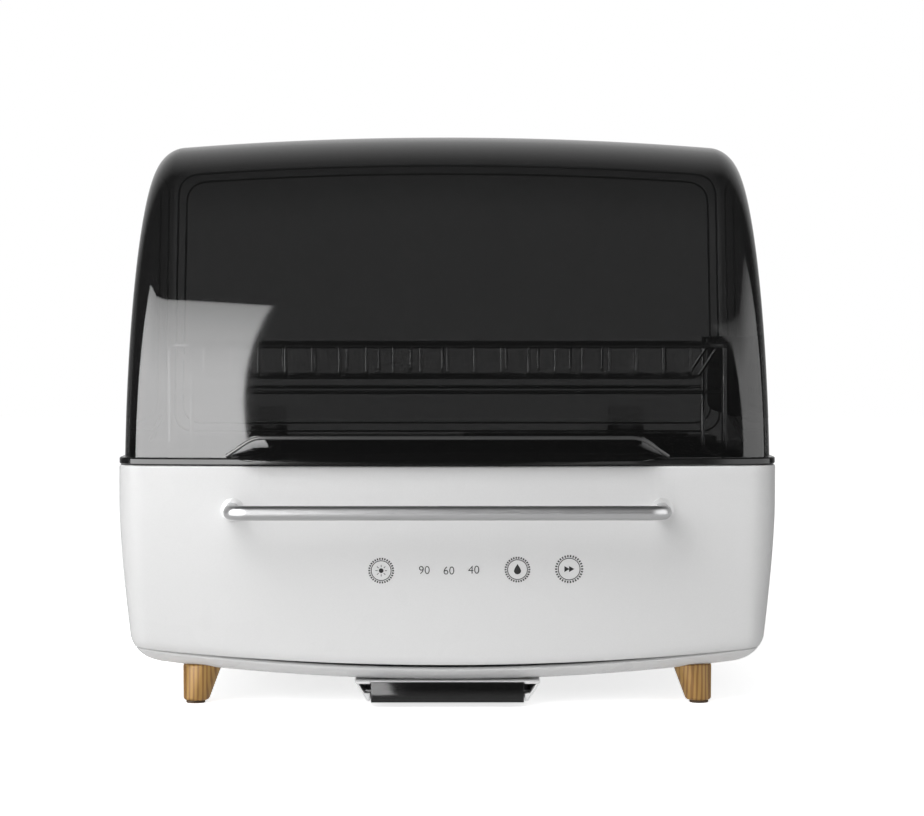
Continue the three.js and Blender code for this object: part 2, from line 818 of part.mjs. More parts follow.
function fanHousing() {
  const backY = fanY + fanDepth;
  const duct = (inset) => block(
    [fanX - ductHalfWidth + inset, fanX + ductHalfWidth - inset],
    [fanY + inset, backY - inset],
    [fanZ, ductTopZ + (inset ? overrun : 0)],
  );
  const posts = [-1, 1].map((end) => rod(
    [fanX + end * fanRadius, bayY, fanZ],
    [fanX + end * fanRadius, fanY + lap, fanZ],
    fanPostRadius,
  ));
  return cut(
    join(alongY(fanY, backY, fanRadius + fanWall), duct(0), posts),
    alongY(fanY + fanWall, backY - fanWall, fanRadius),
    duct(fanWall),
    alongY(backY - 2 * fanWall, backY + overrun, impellerRadius - 2 * fanWall),
  );
}

function fanMotor() {
  const foot = fanY + fanWall + seatGap;
  const shaftTip = foot + motorDepth + impellerDepth - fanWall;
  return join(
    alongY(foot, foot + motorDepth, motorRadius),
    alongY(foot, shaftTip, shaftRadius, { sides: boreSides }),
  );
}

function fanImpeller() {
  const foot = fanY + fanWall + motorDepth + 2 * runGap;
  const top = foot + impellerDepth - 2 * fanWall;
  const plate = alongY(foot, foot + fanWall, impellerRadius);
  const hub = alongY(foot, top, 2 * shaftRadius + fanWall, { sides: 16 });
  const across = [impellerRadius * bladeRootShare, impellerRadius];
  const blades = steps(impellerBlades, (i) =>
    block(across, [foot + lap, top], around(0, fanWall))
      .rotate([0, (360 * i) / impellerBlades, 0])
      .translate([fanX, 0, fanZ]));
  const bore = alongY(foot - lap, top + lap, shaftRadius + seatGap, { sides: boreSides });
  return cut(join(plate, hub, blades), bore);
}

function heaterCore() {
  const inset = fanWall + seatGap;
  const x = [fanX - ductHalfWidth + inset, fanX + ductHalfWidth - inset];
  const y = [fanY + inset, fanY + fanDepth - inset];
  const pitch = (x[1] - x[0]) / heaterSlots;
  return cut(block(x, y, heaterZ), spread(heaterSlots, pitch, (shift) => block(
    around(fanX + shift, pitch - 2 * fanWall),
    [y[0] + fanWall, y[1] - fanWall],
    [heaterZ[0] - overrun, heaterZ[1] + overrun],
  )));
}

const lampY = behind(lampSetback);
const lampSocket = holderThickness / 2;
const uvLamp = () => rod(
  [lampX - lampLength / 2 + lampSocket, lampY, lampZ],
  [lampX + lampLength / 2 - lampSocket, lampY, lampZ],
  lampRadius,
);

function lampHolder(side) {
  const outer = lampX + side * (lampLength / 2 + holderThickness / 2);
  const inner = outer - side * holderThickness;
  const topZ = shelfTopZ - deckWall - seatGap;
  const body = block(
    ordered(outer, inner),
    around(lampY, holderDepth),
    [topZ - holderHeight, topZ],
  );
  const end = lampX + side * (lampLength / 2 - lampSocket + seatGap);
  return cut(body, rod([lampX, lampY, lampZ], [end, lampY, lampZ], lampRadius + seatGap));
}

function powerBoard() {
  const plateY = [bayY + boardStandoff, bayY + boardStandoff + boardThickness];
  const plate = block(around(boardX, boardWidth), plateY, around(boardZ, boardHeight));
  const pillars = [-1, 1].flatMap((right) => [-1, 1].map((up) => {
    const x = boardX + right * (boardWidth / 2 - boardStandoff);
    const z = boardZ + up * (boardHeight / 2 - boardStandoff);
    return rod([x, bayY, z], [x, plateY[0] + lap, z], boardStandoff / 2, { sides: 10 });
  }));
  const onBoard = (shares, depth) => block(
    around(boardX + shares.x * boardWidth, shares.width * boardWidth),
    [plateY[1] - lap, plateY[1] + depth],
    around(boardZ + shares.z * boardHeight, shares.height * boardHeight),
  );
  const capacitors = capacitorShares.map((shares) => {
    const [x, z] = [boardX + shares.x * boardWidth, boardZ + shares.z * boardHeight];
    return rod([x, plateY[1] - lap, z], [x, plateY[1] + capacitorHeight, z], capacitorRadius);
  });
  return join(
    plate,
    pillars,
    onBoard(transformerShares, transformerDepth),
    onBoard(relayShares, relayDepth),
    capacitors,
  );
}

function powerInlet() {
  const body = block(
    around(inletX, inletWidth),
    [rearY - inletDepth, rearY + 2 * seatGap],
    around(inletZ, inletHeight),
  );
  const face = block(
    around(inletX, inletWidth + 2 * inletRim),
    [rearY + seatGap, rearY + seatGap + boardThickness],
    around(inletZ, inletHeight + 2 * inletRim),
  );
  const socket = block(
    around(inletX, inletWidth - 2 * inletRim),
    [rearY - inletDepth + inletRim, rearY + overrun],
    around(inletZ, inletHeight - 2 * inletRim),
  );
  return cut(join(body, face), socket);
}

function coverScrew([x, z]) {
  const headY = rearY + coverThickness + 2 * seatGap;
  return join(
    rod([x, headY, z], [x, rearY + coverThickness + screwHeadHeight, z], screwHeadRadius),
    rod([x, rearY - skinWall, z], [x, headY + lap, z], screwRadius, { sides: boreSides }),
  );
}

const switchTopZ = bodyTopZ - skinWall - seatGap;
const plungerFootZ = switchTopZ - switchSize[2] / 2;

function lidSwitch() {
  const [width, length, height] = switchSize;
  const body = block(
    [switchX + 2 * plungerRadius - width, switchX + 2 * plungerRadius],
    around(switchY, length),
    [switchTopZ - height, switchTopZ],
  ).intersect(hull(skinWall + seatGap, bodyTopZ, hullFootZ + skinWall));
  return cut(body, rod(
    [switchX, switchY, plungerFootZ - 2 * plungerTravel],
    [switchX, switchY, switchTopZ + overrun],
    plungerRadius + seatGap,
    { sides: boreSides },
  ));
}

const switchPlunger = () => rod(
  [switchX, switchY, plungerFootZ],
  [switchX, switchY, lidFootZ - seatGap],
  plungerRadius,
  { sides: boreSides },
);

// Drawer
function drawerFront() {
  const postHoles = [-1, 1].map((side) => rod(
    [side * barHalfSpan, frontY - overrun, barZ],
    [side * barHalfSpan, behind(frontBow + overrun), barZ],
    screwRadius + seatGap,
    { sides: boreSides },
  ));
  return cut(
    skin.intersect(aheadOf(drawerWrap)).intersect(overReveal(panTopZ, revealMiddle, revealCorner)),
    postHoles,
  );
}

function drawerBox() {
  const x = [-boxHalfWidth, boxHalfWidth];
  const y = [behind(boxFrontSetback), behind(boxBackSetback)];
  const room = block(
    [x[0] + boxWall, x[1] - boxWall],
    [y[0] + boxWall, y[1] - boxWall],
    [boxFloorZ + boxWall, boxTopZ + overrun],
  );
  const shaped = (wall) => hull(skinWall + seatGap + wall, boxTopZ + overrun);
  return cut(block(x, y, [boxFloorZ, boxTopZ]).intersect(shaped(0)), room.intersect(shaped(boxWall)));
}

function drawerGrid() {
  const inset = boxWall + runGap;
  const x = [-boxHalfWidth + inset, boxHalfWidth - inset];
  const y = [behind(boxFrontSetback) + inset, behind(boxBackSetback) - inset];
  const floorZ = boxFloorZ + boxWall + seatGap;
  const plate = block(x, y, [floorZ, floorZ + gridRise]);
  const hollow = block(
    [x[0] + gridThickness, x[1] - gridThickness],
    [y[0] + gridThickness, y[1] - gridThickness],
    [floorZ - overrun, floorZ + gridRise - gridThickness],
  );
  const length = (y[1] - y[0]) / 2 - 2 * gridRise;
  const count = Math.floor((2 * (boxHalfWidth - gridPitch)) / gridPitch) + 1;
  const slots = [1, 3].flatMap((quarter) => spread(count, gridPitch, (shift) => block(
    around(shift, gridSlotWidth),
    around(y[0] + ((y[1] - y[0]) * quarter) / 4, length),
    [floorZ - overrun, floorZ + gridRise + overrun],
  )));
  return cut(plate.intersect(hull(skinWall + seatGap + inset, boxTopZ)), hollow, slots);
}

const panelFaceAt = (x) => frontY + bowAt(x);
const barY = frontY - barReach;
const rosetteFace = panelFaceAt(barHalfSpan) - seatGap - rosetteThickness;

function drawerHandle() {
  const foot = rosetteFace - seatGap;
  const bar = wire([
    [-barHalfSpan, foot, barZ],
    [-barHalfSpan, barY, barZ],
    [barHalfSpan, barY, barZ],
    [barHalfSpan, foot, barZ],
  ], barRadius, barBend, 16, 6);
  return cut(bar, [-1, 1].map((side) => rod(
    [side * barHalfSpan, foot - postSocketDepth, barZ],
    [side * barHalfSpan, foot + overrun, barZ],
    screwRadius + seatGap,
    { sides: boreSides },
  )));
}

function handleRosette(side) {
  const x = side * barHalfSpan;
  const backY = rosetteFace + frontBow;
  const disc = rod([x, rosetteFace, barZ], [x, backY, barZ], rosetteRadius, { sides: 24 });
  const hole = rod([x, rosetteFace - lap, barZ], [x, backY + lap, barZ], screwRadius + seatGap, {
    sides: boreSides,
  });
  return cut(disc, hull(-seatGap, bodyTopZ), hole);
}

function handleScrew(side) {
  const x = side * barHalfSpan;
  const headY = panelFaceAt(barHalfSpan) + skinWall + 2 * runGap;
  const tip = rosetteFace - postSocketDepth;
  return join(
    rod([x, headY, barZ], [x, headY + screwHeadHeight, barZ], screwHeadRadius),
    rod([x, tip, barZ], [x, headY + lap, barZ], screwRadius, { sides: boreSides }),
  );
}

function touchBoard() {
  return block(touchBoardX, [frontY, behind(boxFrontSetback) - seatGap], touchBoardZ)
    .intersect(hull(skinWall + seatGap, bodyTopZ))
    .subtract(hull(skinWall + seatGap + 2 * boardThickness, bodyTopZ));
}

// Lid
const lidHalf = halfBody - lidInset;
const lidFaceY = behind(lidInset);
const lidBackY = rearY - lidInset;
const crestY = lidFaceY + lidCrestSetback;

// Bows the front, lowers the sides of the crown and leans the sides in.
function lidWarp([x, y, z]) {
  const rise = z - lidFootZ;
  return [
    x * (1 - (lidDraftShare * rise) / lidHalf),
    y + (bowAt(x) * (rearY - y)) / bodyDepth,
    z - lidCrownDrop * (x / crownHalfWidth) ** 2 * (rise / lidRise),
  ];
}

// The dome drawn in by a wall, as a closed solid from a foot height up.
function dome(wall, footZ) {
  const half = lidHalf - wall;
  const edge = Math.max(lidEdgeRadius - wall, leastCornerRadius);
  const rearEdge = Math.max(lidRearEdgeRadius - wall, leastCornerRadius);
  const drawnIn = (x, radius) => {
    const past = Math.max(Math.abs(x) - (half - radius), 0);
    return radius - Math.sqrt(Math.max(radius ** 2 - past ** 2, 0));
  };
  const frontPoints = 14;
  const topPoints = 5;
  const shoulderPoints = 4;
  const backPoints = 3;
  const section = (x) => {
    const inset = wall + drawnIn(x, edge);
    const depth = lidCrestSetback - inset;
    const height = lidRise - inset;
    const front = steps(frontPoints, (i) => {
      const angle = (Math.PI / 2) * (i / (frontPoints - 1));
      return [crestY - depth * Math.cos(angle), lidFootZ + height * Math.sin(angle)];
    });
    const backY = lidBackY - wall - drawnIn(x, rearEdge);
    const run = backY - rearEdge - crestY;
    const top = steps(topPoints, (i) => {
      const share = (i + 1) / topPoints;
      return [crestY + run * share, lidFootZ + height - lidRearDrop * share ** 2];
    });
    const shoulderZ = lidFootZ + height - lidRearDrop - rearEdge;
    const shoulder = steps(shoulderPoints, (i) => {
      const angle = (Math.PI / 2) * (1 - (i + 1) / shoulderPoints);
      return [backY - rearEdge * (1 - Math.cos(angle)), shoulderZ + rearEdge * Math.sin(angle)];
    });
    const back = steps(backPoints, (i) => [
      backY,
      shoulderZ - ((shoulderZ - lidFootZ) * (i + 1)) / backPoints,
    ]);
    const ring = [...front, ...top, ...shoulder, ...back];
    ring[0][1] = footZ;
    ring.at(-1)[1] = footZ;
    return ring.map(([y, z]) => lidWarp([x, y, z]));
  };
  const edgeSteps = 4;
  const crownSteps = 10;
  const flat = half - edge;
  const side = steps(edgeSteps, (i) => flat + edge * Math.sin((Math.PI / 2) * ((i + 1) / edgeSteps)));
  const crown = spread(crownSteps + 1, (2 * flat) / crownSteps, (x) => x);
  const places = [...side.map((x) => -x).reverse(), ...crown, ...side];
  return loft(places.map(section));
}

function fingerLip() {
  const outline = (share) => {
    const [reach, height] = [lipReach * share, lipHeight * share];
    const clear = lidInset + lipThickness;
    const drop = lipDrop * Math.max((reach - clear) / (lipReach - clear), 0);
    const embed = lidWall / 2;
    const part = ([ahead, up]) => [-reach * ahead, height * up];
    return [
      [-reach, -drop],
      part(lipShares.flank),
      part(lipShares.neck),
      [embed / 2, height],
      [embed, height],
      [embed, height * lipShares.seatHeight],
      part(lipShares.hollow),
      [-reach + lipThickness * share, -drop],
    ];
  };
  const shoulderShares = [0.06, 0.35, 0.62, 0.84, 1];
  const slant = shoulderShares.map((share, i) => ({
    x: lipHalfFoot - ((lipHalfFoot - lipHalfTop) * i) / (shoulderShares.length - 1),
    share,
  }));
  const middle = spread(9, lipHalfTop / 5, (x) => ({ x, share: 1 }));
  const places = [...slant.map(({ x, share }) => ({ x: -x, share })), ...middle, ...slant.reverse()];
  return loft(places.map(({ x, share }) => outline(share).map(([y, z]) =>
    lidWarp([x, lidFaceY + y, lidFootZ + z]))));
}

function lid() {
  const topZ = lidFootZ + lidRise - lidRearDrop - lidCrownDrop - borderInset;
  const halfTop = lidHalf - lidDraftShare * lidRise - borderInset;
  const border = prism(
    roundedRectangle([-halfTop, halfTop], [lidFootZ + borderInset, topZ], borderRadius),
    "y",
    [lidBackY - borderDepth, lidBackY + overrun],
  );
  return cut(join(dome(0, lidFootZ), fingerLip()), dome(lidWall, lidFootZ - overrun), border);
}

function lidStrap(side) {
  const [lowSetback, lowZ] = strapFoot;
  const [highSetback, highZ] = strapHead;
  const bar = prism([
    [behind(lowSetback), lowZ],
    [behind(lowSetback) + strapWidth, lowZ],
    [behind(highSetback), highZ - strapWidth],
    [behind(highSetback), highZ],
  ], "x", [-halfBody, halfBody]);
  const sideOnly = block(
    ordered(0, side * halfBody),
    [frontY, rearY],
    [0, lidFootZ + lidRise],
  );
  return bar.intersect(sideOnly)
    .intersect(dome(lidWall + seatGap, lidFootZ))
    .subtract(dome(lidWall + seatGap + strapThickness, lidFootZ - overrun));
}

// Hinges
const knuckle = (x, length) => rod(
  [x - length / 2, hingeY, hingeZ],
  [x + length / 2, hingeY, hingeZ],
  knuckleRadius,
  { sides: 20 },
);
const hingeHole = (x) => rod([x - leafWidth, hingeY, hingeZ], [x + leafWidth, hingeY, hingeZ], hingeBore);

function hingeLeaf(side) {
  const x = side * hingeX;
  const plateY = [lidBackY + seatGap, hingeY - knuckleRadius - seatGap];
  const footZ = hingeZ - knuckleRadius;
  const plate = block(around(x, leafWidth), plateY, [footZ, footZ + leafHeight]);
  const web = block(around(x, knuckleLength), [plateY[0], hingeY], around(hingeZ, knuckleRadius + lap));
  return cut(join(plate, web, knuckle(x, knuckleLength)), hingeHole(x));
}

function hingeBracket(side) {
  const x = side * hingeX;
  const endLength = (leafWidth - knuckleLength) / 2 - seatGap;
  const ends = [-1, 1].map((end) => knuckle(x + (end * (leafWidth - endLength)) / 2, endLength));
  const plate = block(
    around(x, leafWidth),
    [rearY + seatGap, rearY + seatGap + hingePlate],
    [bodyTopZ - hingePlateDrop, hingeZ],
  );
  const notch = block(
    around(x, knuckleLength + 2 * seatGap),
    [rearY - overrun, rearY + overrun],
    [hingeZ - knuckleRadius - runGap, hingeZ + overrun],
  );
  const screwHoles = [1, 3].map((quarter) => rod(
    [x, rearY - overrun, bodyTopZ - (hingePlateDrop * quarter) / 4],
    [x, rearY + overrun, bodyTopZ - (hingePlateDrop * quarter) / 4],
    screwRadius + seatGap,
    { sides: boreSides },
  ));
  return cut(join(cut(plate, notch), ends), hingeHole(x), screwHoles);
}

const hingePin = (side) => rod(
  [side * hingeX - leafWidth / 2, hingeY, hingeZ],
  [side * hingeX + leafWidth / 2, hingeY, hingeZ],
  hingePinRadius,
);

// Dish rack
const rackFrontY = behind(rackSetback);
const rackBackY = rackFrontY + rackDepth;
function dishRack() {
  const middleY = (rackFrontY + rackBackY) / 2;
  const halfRing = (endY, farY, radius) => wire([
    [-rackHalfWidth, endY, rackRailZ],
    [-rackHalfWidth, farY, rackRailZ],
    [rackHalfWidth, farY, rackRailZ],
    [rackHalfWidth, endY, rackRailZ],
  ], radius, rackCorner);
  const dividers = (pitch, shift, y, inward) => {
    const half = rackHalfWidth - rackCorner - rackWire - shift;
    return spread(Math.floor((2 * half) / pitch) + 1, pitch, (x) => wire([
      [x + shift, y, rackRailZ],
      [x + shift, y, rackFloorZ],
      [x + shift, y + inward * rackReach, rackFloorZ],
    ], rackThin, rackBend, thinSides, 1));
  };
  const crossing = rackReach * rackCrossShare;
  const lengthwise = [rackFrontY + crossing, rackBackY - crossing].map((y) => wire([
    [-rackHalfWidth, y, rackRailZ],
    [-rackHalfWidth + rackCorner, y, rackFloorZ - rackThin],
    [rackHalfWidth - rackCorner, y, rackFloorZ - rackThin],
    [rackHalfWidth, y, rackRailZ],
  ], rackThin, rackBend, thinSides, 1));
  const legZ = basinFloorZ + seatGap + rackWire;
  const legs = [-1, 1].map((side) => wire([
    [side * rackHalfWidth, rackFrontY + rackCorner, rackRailZ],
    [side * rackHalfWidth, rackFrontY + rackCorner, legZ],
    [side * rackHalfWidth, rackBackY - rackCorner, legZ],
    [side * rackHalfWidth, rackBackY - rackCorner, rackRailZ],
  ], rackInnerWire, rackCorner));
  const lowWires = [rackFrontY + rackCorner, rackBackY - rackCorner].map((y) =>
    rod([-rackHalfWidth, y, rackLowZ], [rackHalfWidth, y, rackLowZ], rackThin, { sides: thinSides }));
  return join(
    halfRing(middleY + rackWire, rackFrontY, rackWire),
    halfRing(middleY, rackBackY, rackInnerWire),
    legs,
    lowWires,
    lengthwise,
    dividers(rackFrontPitch, 0, rackFrontY, 1),
    dividers(rackRearPitch, rackRearShift, rackBackY, -1),
  );
}

// Cutlery basket, hung on the right rail
function cutleryBasket() {
  const innerX = rackHalfWidth + rackWire + seatGap;
  const x = [innerX, innerX + basketWidth];
  const y = around(behind(basketSetback), 2 * basketHalfDepth);
  const outline = (inset) => roundedRectangle(
    [y[0] + inset, y[1] - inset],
    [basketFootZ + inset, basketTopZ + basketCorner],
    basketCorner - inset,
  );
  const shell = prism(outline(0), "x", x);
  const room = prism(outline(basketWall), "x", [x[0] + basketWall, x[1] - basketWall]);
  const above = block([0, halfBody], [frontY, rearY], [basketTopZ, bodyTopZ + lidRise]);
  const holes = [1, 2].flatMap((row) => spread(basketHoles, basketHolePitch, (shift) => rod(
    [x[0] - overrun, behind(basketSetback) + shift, basketFootZ + ((basketTopZ - basketFootZ) * row) / 3],
    [x[1] + overrun, behind(basketSetback) + shift, basketFootZ + ((basketTopZ - basketFootZ) * row) / 3],
    basketHoleRadius,
    { sides: 6 },
  )));
  const hookX = [rackHalfWidth - rackWire - seatGap - basketWall, x[0] + basketWall];
  const hookZ = [rackRailZ + rackWire + seatGap, rackRailZ + rackWire + seatGap + basketWall];
  const hooks = [-1, 1].map((end) => {
    const hookY = around(behind(basketSetback) + (end * basketHalfDepth) / 2, basketHolePitch);
    return join(
      block(hookX, hookY, hookZ),
      block([hookX[0], hookX[0] + basketWall], hookY, [rackRailZ - rackWire / 2, hookZ[1]]),
    );
  });
  return join(cut(shell, room, above, holes), hooks);
}

// Assembly
const both = (make) => Object.entries(sides).map(([name, side]) => [name, make(side)]);
const placeBoth = (name, make, look) =>
  both(make).forEach(([side, shape]) => piece(`${name}_${side}`, shape, look));

piece("base_pan", basePan(), whiteGloss);
piece("body_shell", bodyShell(), whiteGloss);
piece("rear_cover", rearCover(), whiteGloss);
piece("bulkhead", bulkhead(), greyPlastic);
piece("deck_tray", deckTray(), blackGloss);
piece("lamp_guard", lampGuard(), darkPlastic);
piece("drain_pipe", drainPipe(), greyPlastic);
piece("drip_bracket", dripBracket(), whiteGloss);
piece("drip_tray", dripTray(), smoked);
footPlaces.forEach((place, i) => piece(`foot_${i + 1}`, foot(place), oak));
footPlaces.forEach((place, i) => piece(`foot_pad_${i + 1}`, footPad(place), rubber));
coverScrewPlaces.forEach((place, i) => piece(`cover_screw_${i + 1}`, coverScrew(place), greySteel));
placeBoth("slide_rail", slideRail, greySteel);
placeBoth("slide_runner", slideRunner, greySteel);
piece("fan_housing", fanHousing(), darkPlastic);
piece("fan_motor", fanMotor(), greySteel);
piece("fan_impeller", fanImpeller(), darkPlastic);
piece("heater_core", heaterCore(), ceramic);
piece("uv_lamp", uvLamp(), lampGlass);
placeBoth("lamp_holder", lampHolder, greyPlastic);
piece("power_board", powerBoard(), greenBoard);
piece("power_inlet", powerInlet(), blackGloss);
piece("lid_switch", lidSwitch(), blackGloss);
piece("switch_plunger", switchPlunger(), greyPlastic);
piece("drawer_front", drawerFront(), whiteGloss);
piece("drawer_box", drawerBox(), greyPlastic);
piece("drawer_grid", drawerGrid(), brushedSteel);
piece("drawer_handle", drawerHandle(), brushedSteel);
placeBoth("handle_rosette", handleRosette, polishedSteel);
placeBoth("handle_screw", handleScrew, greySteel);
piece("touch_board", touchBoard(), greenBoard);
piece("lid", lid(), smoked);
placeBoth("lid_strap", lidStrap, polishedSteel);
placeBoth("hinge_leaf", hingeLeaf, darkPlastic);
placeBoth("hinge_bracket", hingeBracket, darkPlastic);
placeBoth("hinge_pin", hingePin, greySteel);
piece("dish_rack", dishRack(), polishedSteel);
piece("cutlery_basket", cutleryBasket(), darkPlastic);

export default cabinet;
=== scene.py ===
"""Dish sterilizer cabinet: a white base with a drawer, a wire rack on a deck, and a smoked dome lid."""

import logging
import math
from dataclasses import dataclass, field
from enum import Enum
from typing import Callable, Iterable, Sequence

import bpy
from mathutils import Matrix, Vector


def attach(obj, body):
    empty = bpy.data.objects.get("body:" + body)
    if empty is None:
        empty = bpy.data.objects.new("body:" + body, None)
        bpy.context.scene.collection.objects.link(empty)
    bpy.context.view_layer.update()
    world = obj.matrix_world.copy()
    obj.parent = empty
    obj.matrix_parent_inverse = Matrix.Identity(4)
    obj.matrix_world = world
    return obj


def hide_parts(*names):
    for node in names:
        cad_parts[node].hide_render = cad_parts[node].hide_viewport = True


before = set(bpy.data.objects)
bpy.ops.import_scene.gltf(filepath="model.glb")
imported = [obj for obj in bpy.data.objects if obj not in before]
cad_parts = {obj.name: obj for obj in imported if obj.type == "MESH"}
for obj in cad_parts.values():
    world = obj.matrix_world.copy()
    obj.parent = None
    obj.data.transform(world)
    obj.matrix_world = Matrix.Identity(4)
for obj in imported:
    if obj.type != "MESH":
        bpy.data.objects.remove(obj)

log = logging.getLogger("cabinet")
MM = 0.001
Point = tuple[float, float, float]
Place = tuple[float, float]
Piece = bpy.types.Object
Socket = bpy.types.NodeSocket
SIDES = ("left", "right")
SAME_PLACE = 2e-6
BEVEL_ABOVE = math.radians(34)
FLAT_WITHIN = math.radians(0.5)
UPRIGHT = (math.pi / 2, 0, 0)
FACING_FROM = 0.35


class Rounding(Enum):
    """How far the edges of a copied part are rounded, in millimetres."""

    NONE = 0.0
    SHEET = 0.3
    FINE = 0.4
    SOFT = 0.5
    WIDE = 0.6


class Crease(Enum):
    """Below which angle between their faces edges are shaded smooth, in degrees."""

    MOULDED = 32
    CURVED = 40
    TURNED = 50
    WIRE = 60


def clear_selection() -> None:
    """Leave edit mode and deselect every object."""
    if bpy.context.object and bpy.context.object.mode != "OBJECT":
        bpy.ops.object.mode_set(mode="OBJECT")
    bpy.ops.object.select_all(action="DESELECT")


def select_only(piece: Piece) -> None:
    """Select one object and make it the active one.

    Args:
        piece: The object to select.
    """
    clear_selection()
    piece.select_set(True)
    bpy.context.view_layer.objects.active = piece


def named(name: str) -> Piece:
    """Give the active object and its mesh a name.

    Args:
        name: The name for both.

    Returns:
        The active object.
    """
    piece = bpy.context.object
    piece.name = name
    piece.data.name = name
    return piece


def fresh(add: Callable[..., object], name: str, **settings: object) -> Piece:
    """Add an object with one of Blender's add operators and name it.

    Args:
        add: The operator.
        name: The name of the new object.
        settings: What the operator is given.

    Returns:
        The new object.
    """
    clear_selection()
    add(**settings)
    return named(name)


def settle(piece: Piece) -> None:
    """Move a piece's place, turn and scale into its mesh."""
    select_only(piece)
    bpy.ops.object.transform_apply(location=True, rotation=True, scale=True)


def edit(piece: Piece, *steps: Callable[[], object]) -> None:
    """Run edit mode steps on all of a mesh.

    Args:
        piece: The object to edit.
        steps: Calls made in edit mode with everything selected before each.
    """
    select_only(piece)
    bpy.ops.object.mode_set(mode="EDIT")
    for step in steps:
        bpy.ops.mesh.select_all(action="SELECT")
        step()
    bpy.ops.object.mode_set(mode="OBJECT")


def merge(piece: Piece, distance: float = SAME_PLACE) -> None:
    """Merge the vertices of a mesh that lie in the same place."""
    edit(piece, lambda: bpy.ops.mesh.remove_doubles(threshold=distance))


def aim(thing: Piece, target: Point) -> None:
    """Turn a camera or a lamp towards a point."""
    thing.rotation_mode = "QUATERNION"
    thing.rotation_quaternion = (Vector(target) - thing.location).to_track_quat("-Z", "Y")


def close(piece: Piece) -> None:
    """Fill the holes of a mesh and turn its faces outwards."""
    edit(
        piece,
        lambda: bpy.ops.mesh.fill_holes(sides=0),
        lambda: bpy.ops.mesh.normals_make_consistent(inside=False),
    )


def face_away(piece: Piece, centre: Vector) -> None:
    """Turn an open surface so that its faces look away from a point inside it."""
    outward = sum(f.normal.dot(f.center - centre) * f.area for f in piece.data.polygons)
    if outward < 0:
        edit(piece, bpy.ops.mesh.flip_normals)


def modify(piece: Piece, kind: str, **settings: object) -> None:
    """Add a modifier to a piece and apply it.

    Args:
        piece: The object to change.
        kind: Blender's name for the modifier's type.
        settings: Values for the modifier's own fields.
    """
    select_only(piece)
    modifier = piece.modifiers.new(kind.lower(), kind)
    for name, value in settings.items():
        setattr(modifier, name, value)
    bpy.ops.object.modifier_apply(modifier=modifier.name)


def round_edges(piece: Piece, width: float, segments: int = 2) -> None:
    """Round the sharp edges of a piece by a width in millimetres."""
    modify(
        piece, "BEVEL", width=width * MM, segments=segments, limit_method="ANGLE",
        angle_limit=BEVEL_ABOVE, use_clamp_overlap=True,
    )


def smooth(piece: Piece, crease: Crease = Crease.MOULDED) -> None:
    """Shade a piece smooth across the edges below a crease's angle."""
    select_only(piece)
    bpy.ops.object.shade_smooth_by_angle(angle=math.radians(crease.value))


def carve(piece: Piece, cutters: Iterable[Piece]) -> None:
    """Cut shapes out of a piece and remove them.

    Args:
        piece: The object to cut.
        cutters: The shapes to cut out.
    """
    for cutter in cutters:
        modify(piece, "BOOLEAN", object=cutter, operation="DIFFERENCE", solver="EXACT")
        bpy.data.objects.remove(cutter)


def block(name: str, low: Point, high: Point) -> Piece:
    """Add a box between two corners given in millimetres.

    Args:
        name: The name of the new object.
        low: Its lowest corner.
        high: Its highest corner.

    Returns:
        The box, with its place in its mesh.
    """
    middle = [(a + b) / 2 * MM for a, b in zip(low, high)]
    piece = fresh(bpy.ops.mesh.primitive_cube_add, name, size=1, location=middle)
    piece.scale = [(b - a) * MM for a, b in zip(low, high)]
    settle(piece)
    return piece


def disc(name: str, centre: Point, radius: float, depth: float, count: int = 48) -> Piece:
    """Add an upright disc with its round faces ahead and behind, in millimetres.

    Args:
        name: The name of the new object.
        centre: Its middle.
        radius: Its radius.
        depth: How far it reaches from front to back.
        count: How many sides its round edge has.

    Returns:
        The disc, with its place in its mesh.
    """
    piece = fresh(
        bpy.ops.mesh.primitive_cylinder_add, name, vertices=count, radius=radius * MM, depth=depth * MM,
        location=[c * MM for c in centre], rotation=UPRIGHT,
    )
    settle(piece)
    return piece


def patch(name: str, rows: Sequence[Sequence[Point]]) -> Piece:
    """Add a grid and move each of its crossings to a place in millimetres.

    Args:
        name: The name of the new object.
        rows: The places, row by row.

    Returns:
        The surface, with vertices that share a place merged.
    """
    across, up = len(rows[0]) - 1, len(rows) - 1
    add = bpy.ops.mesh.primitive_grid_add
    piece = fresh(add, name, x_subdivisions=across, y_subdivisions=up, size=1)
    for vertex in piece.data.vertices:
        column, row = round((vertex.co.x + 0.5) * across), round((vertex.co.y + 0.5) * up)
        vertex.co = Vector(rows[row][column]) * MM
    merge(piece)
    return piece


def wire(
    name: str, path: Sequence[Vector], radius: float, sides: int = 3, closed: bool = False,
) -> Piece:
    """Add a round wire along a path.

    Args:
        name: The name of the new object.
        path: Its points in millimetres.
        radius: The wire's radius in millimetres.
        sides: The curve's bevel resolution.
        closed: Whether the path joins up.

    Returns:
        The wire as a mesh.
    """
    clear_selection()
    curve = bpy.data.curves.new(name, "CURVE")
    curve.dimensions = "3D"
    spline = curve.splines.new("POLY")
    spline.points.add(len(path) - 1)
    for point, at in zip(spline.points, path):
        point.co = (*(at * MM), 1)
    spline.use_cyclic_u = closed
    curve.bevel_depth = radius * MM
    curve.bevel_resolution = sides
    curve.use_fill_caps = not closed
    piece = bpy.data.objects.new(name, curve)
    bpy.context.scene.collection.objects.link(piece)
    select_only(piece)
    bpy.ops.object.convert(target="MESH")
    piece = named(name)
    merge(piece)
    edit(piece, lambda: bpy.ops.mesh.normals_make_consistent(inside=False))
    return piece


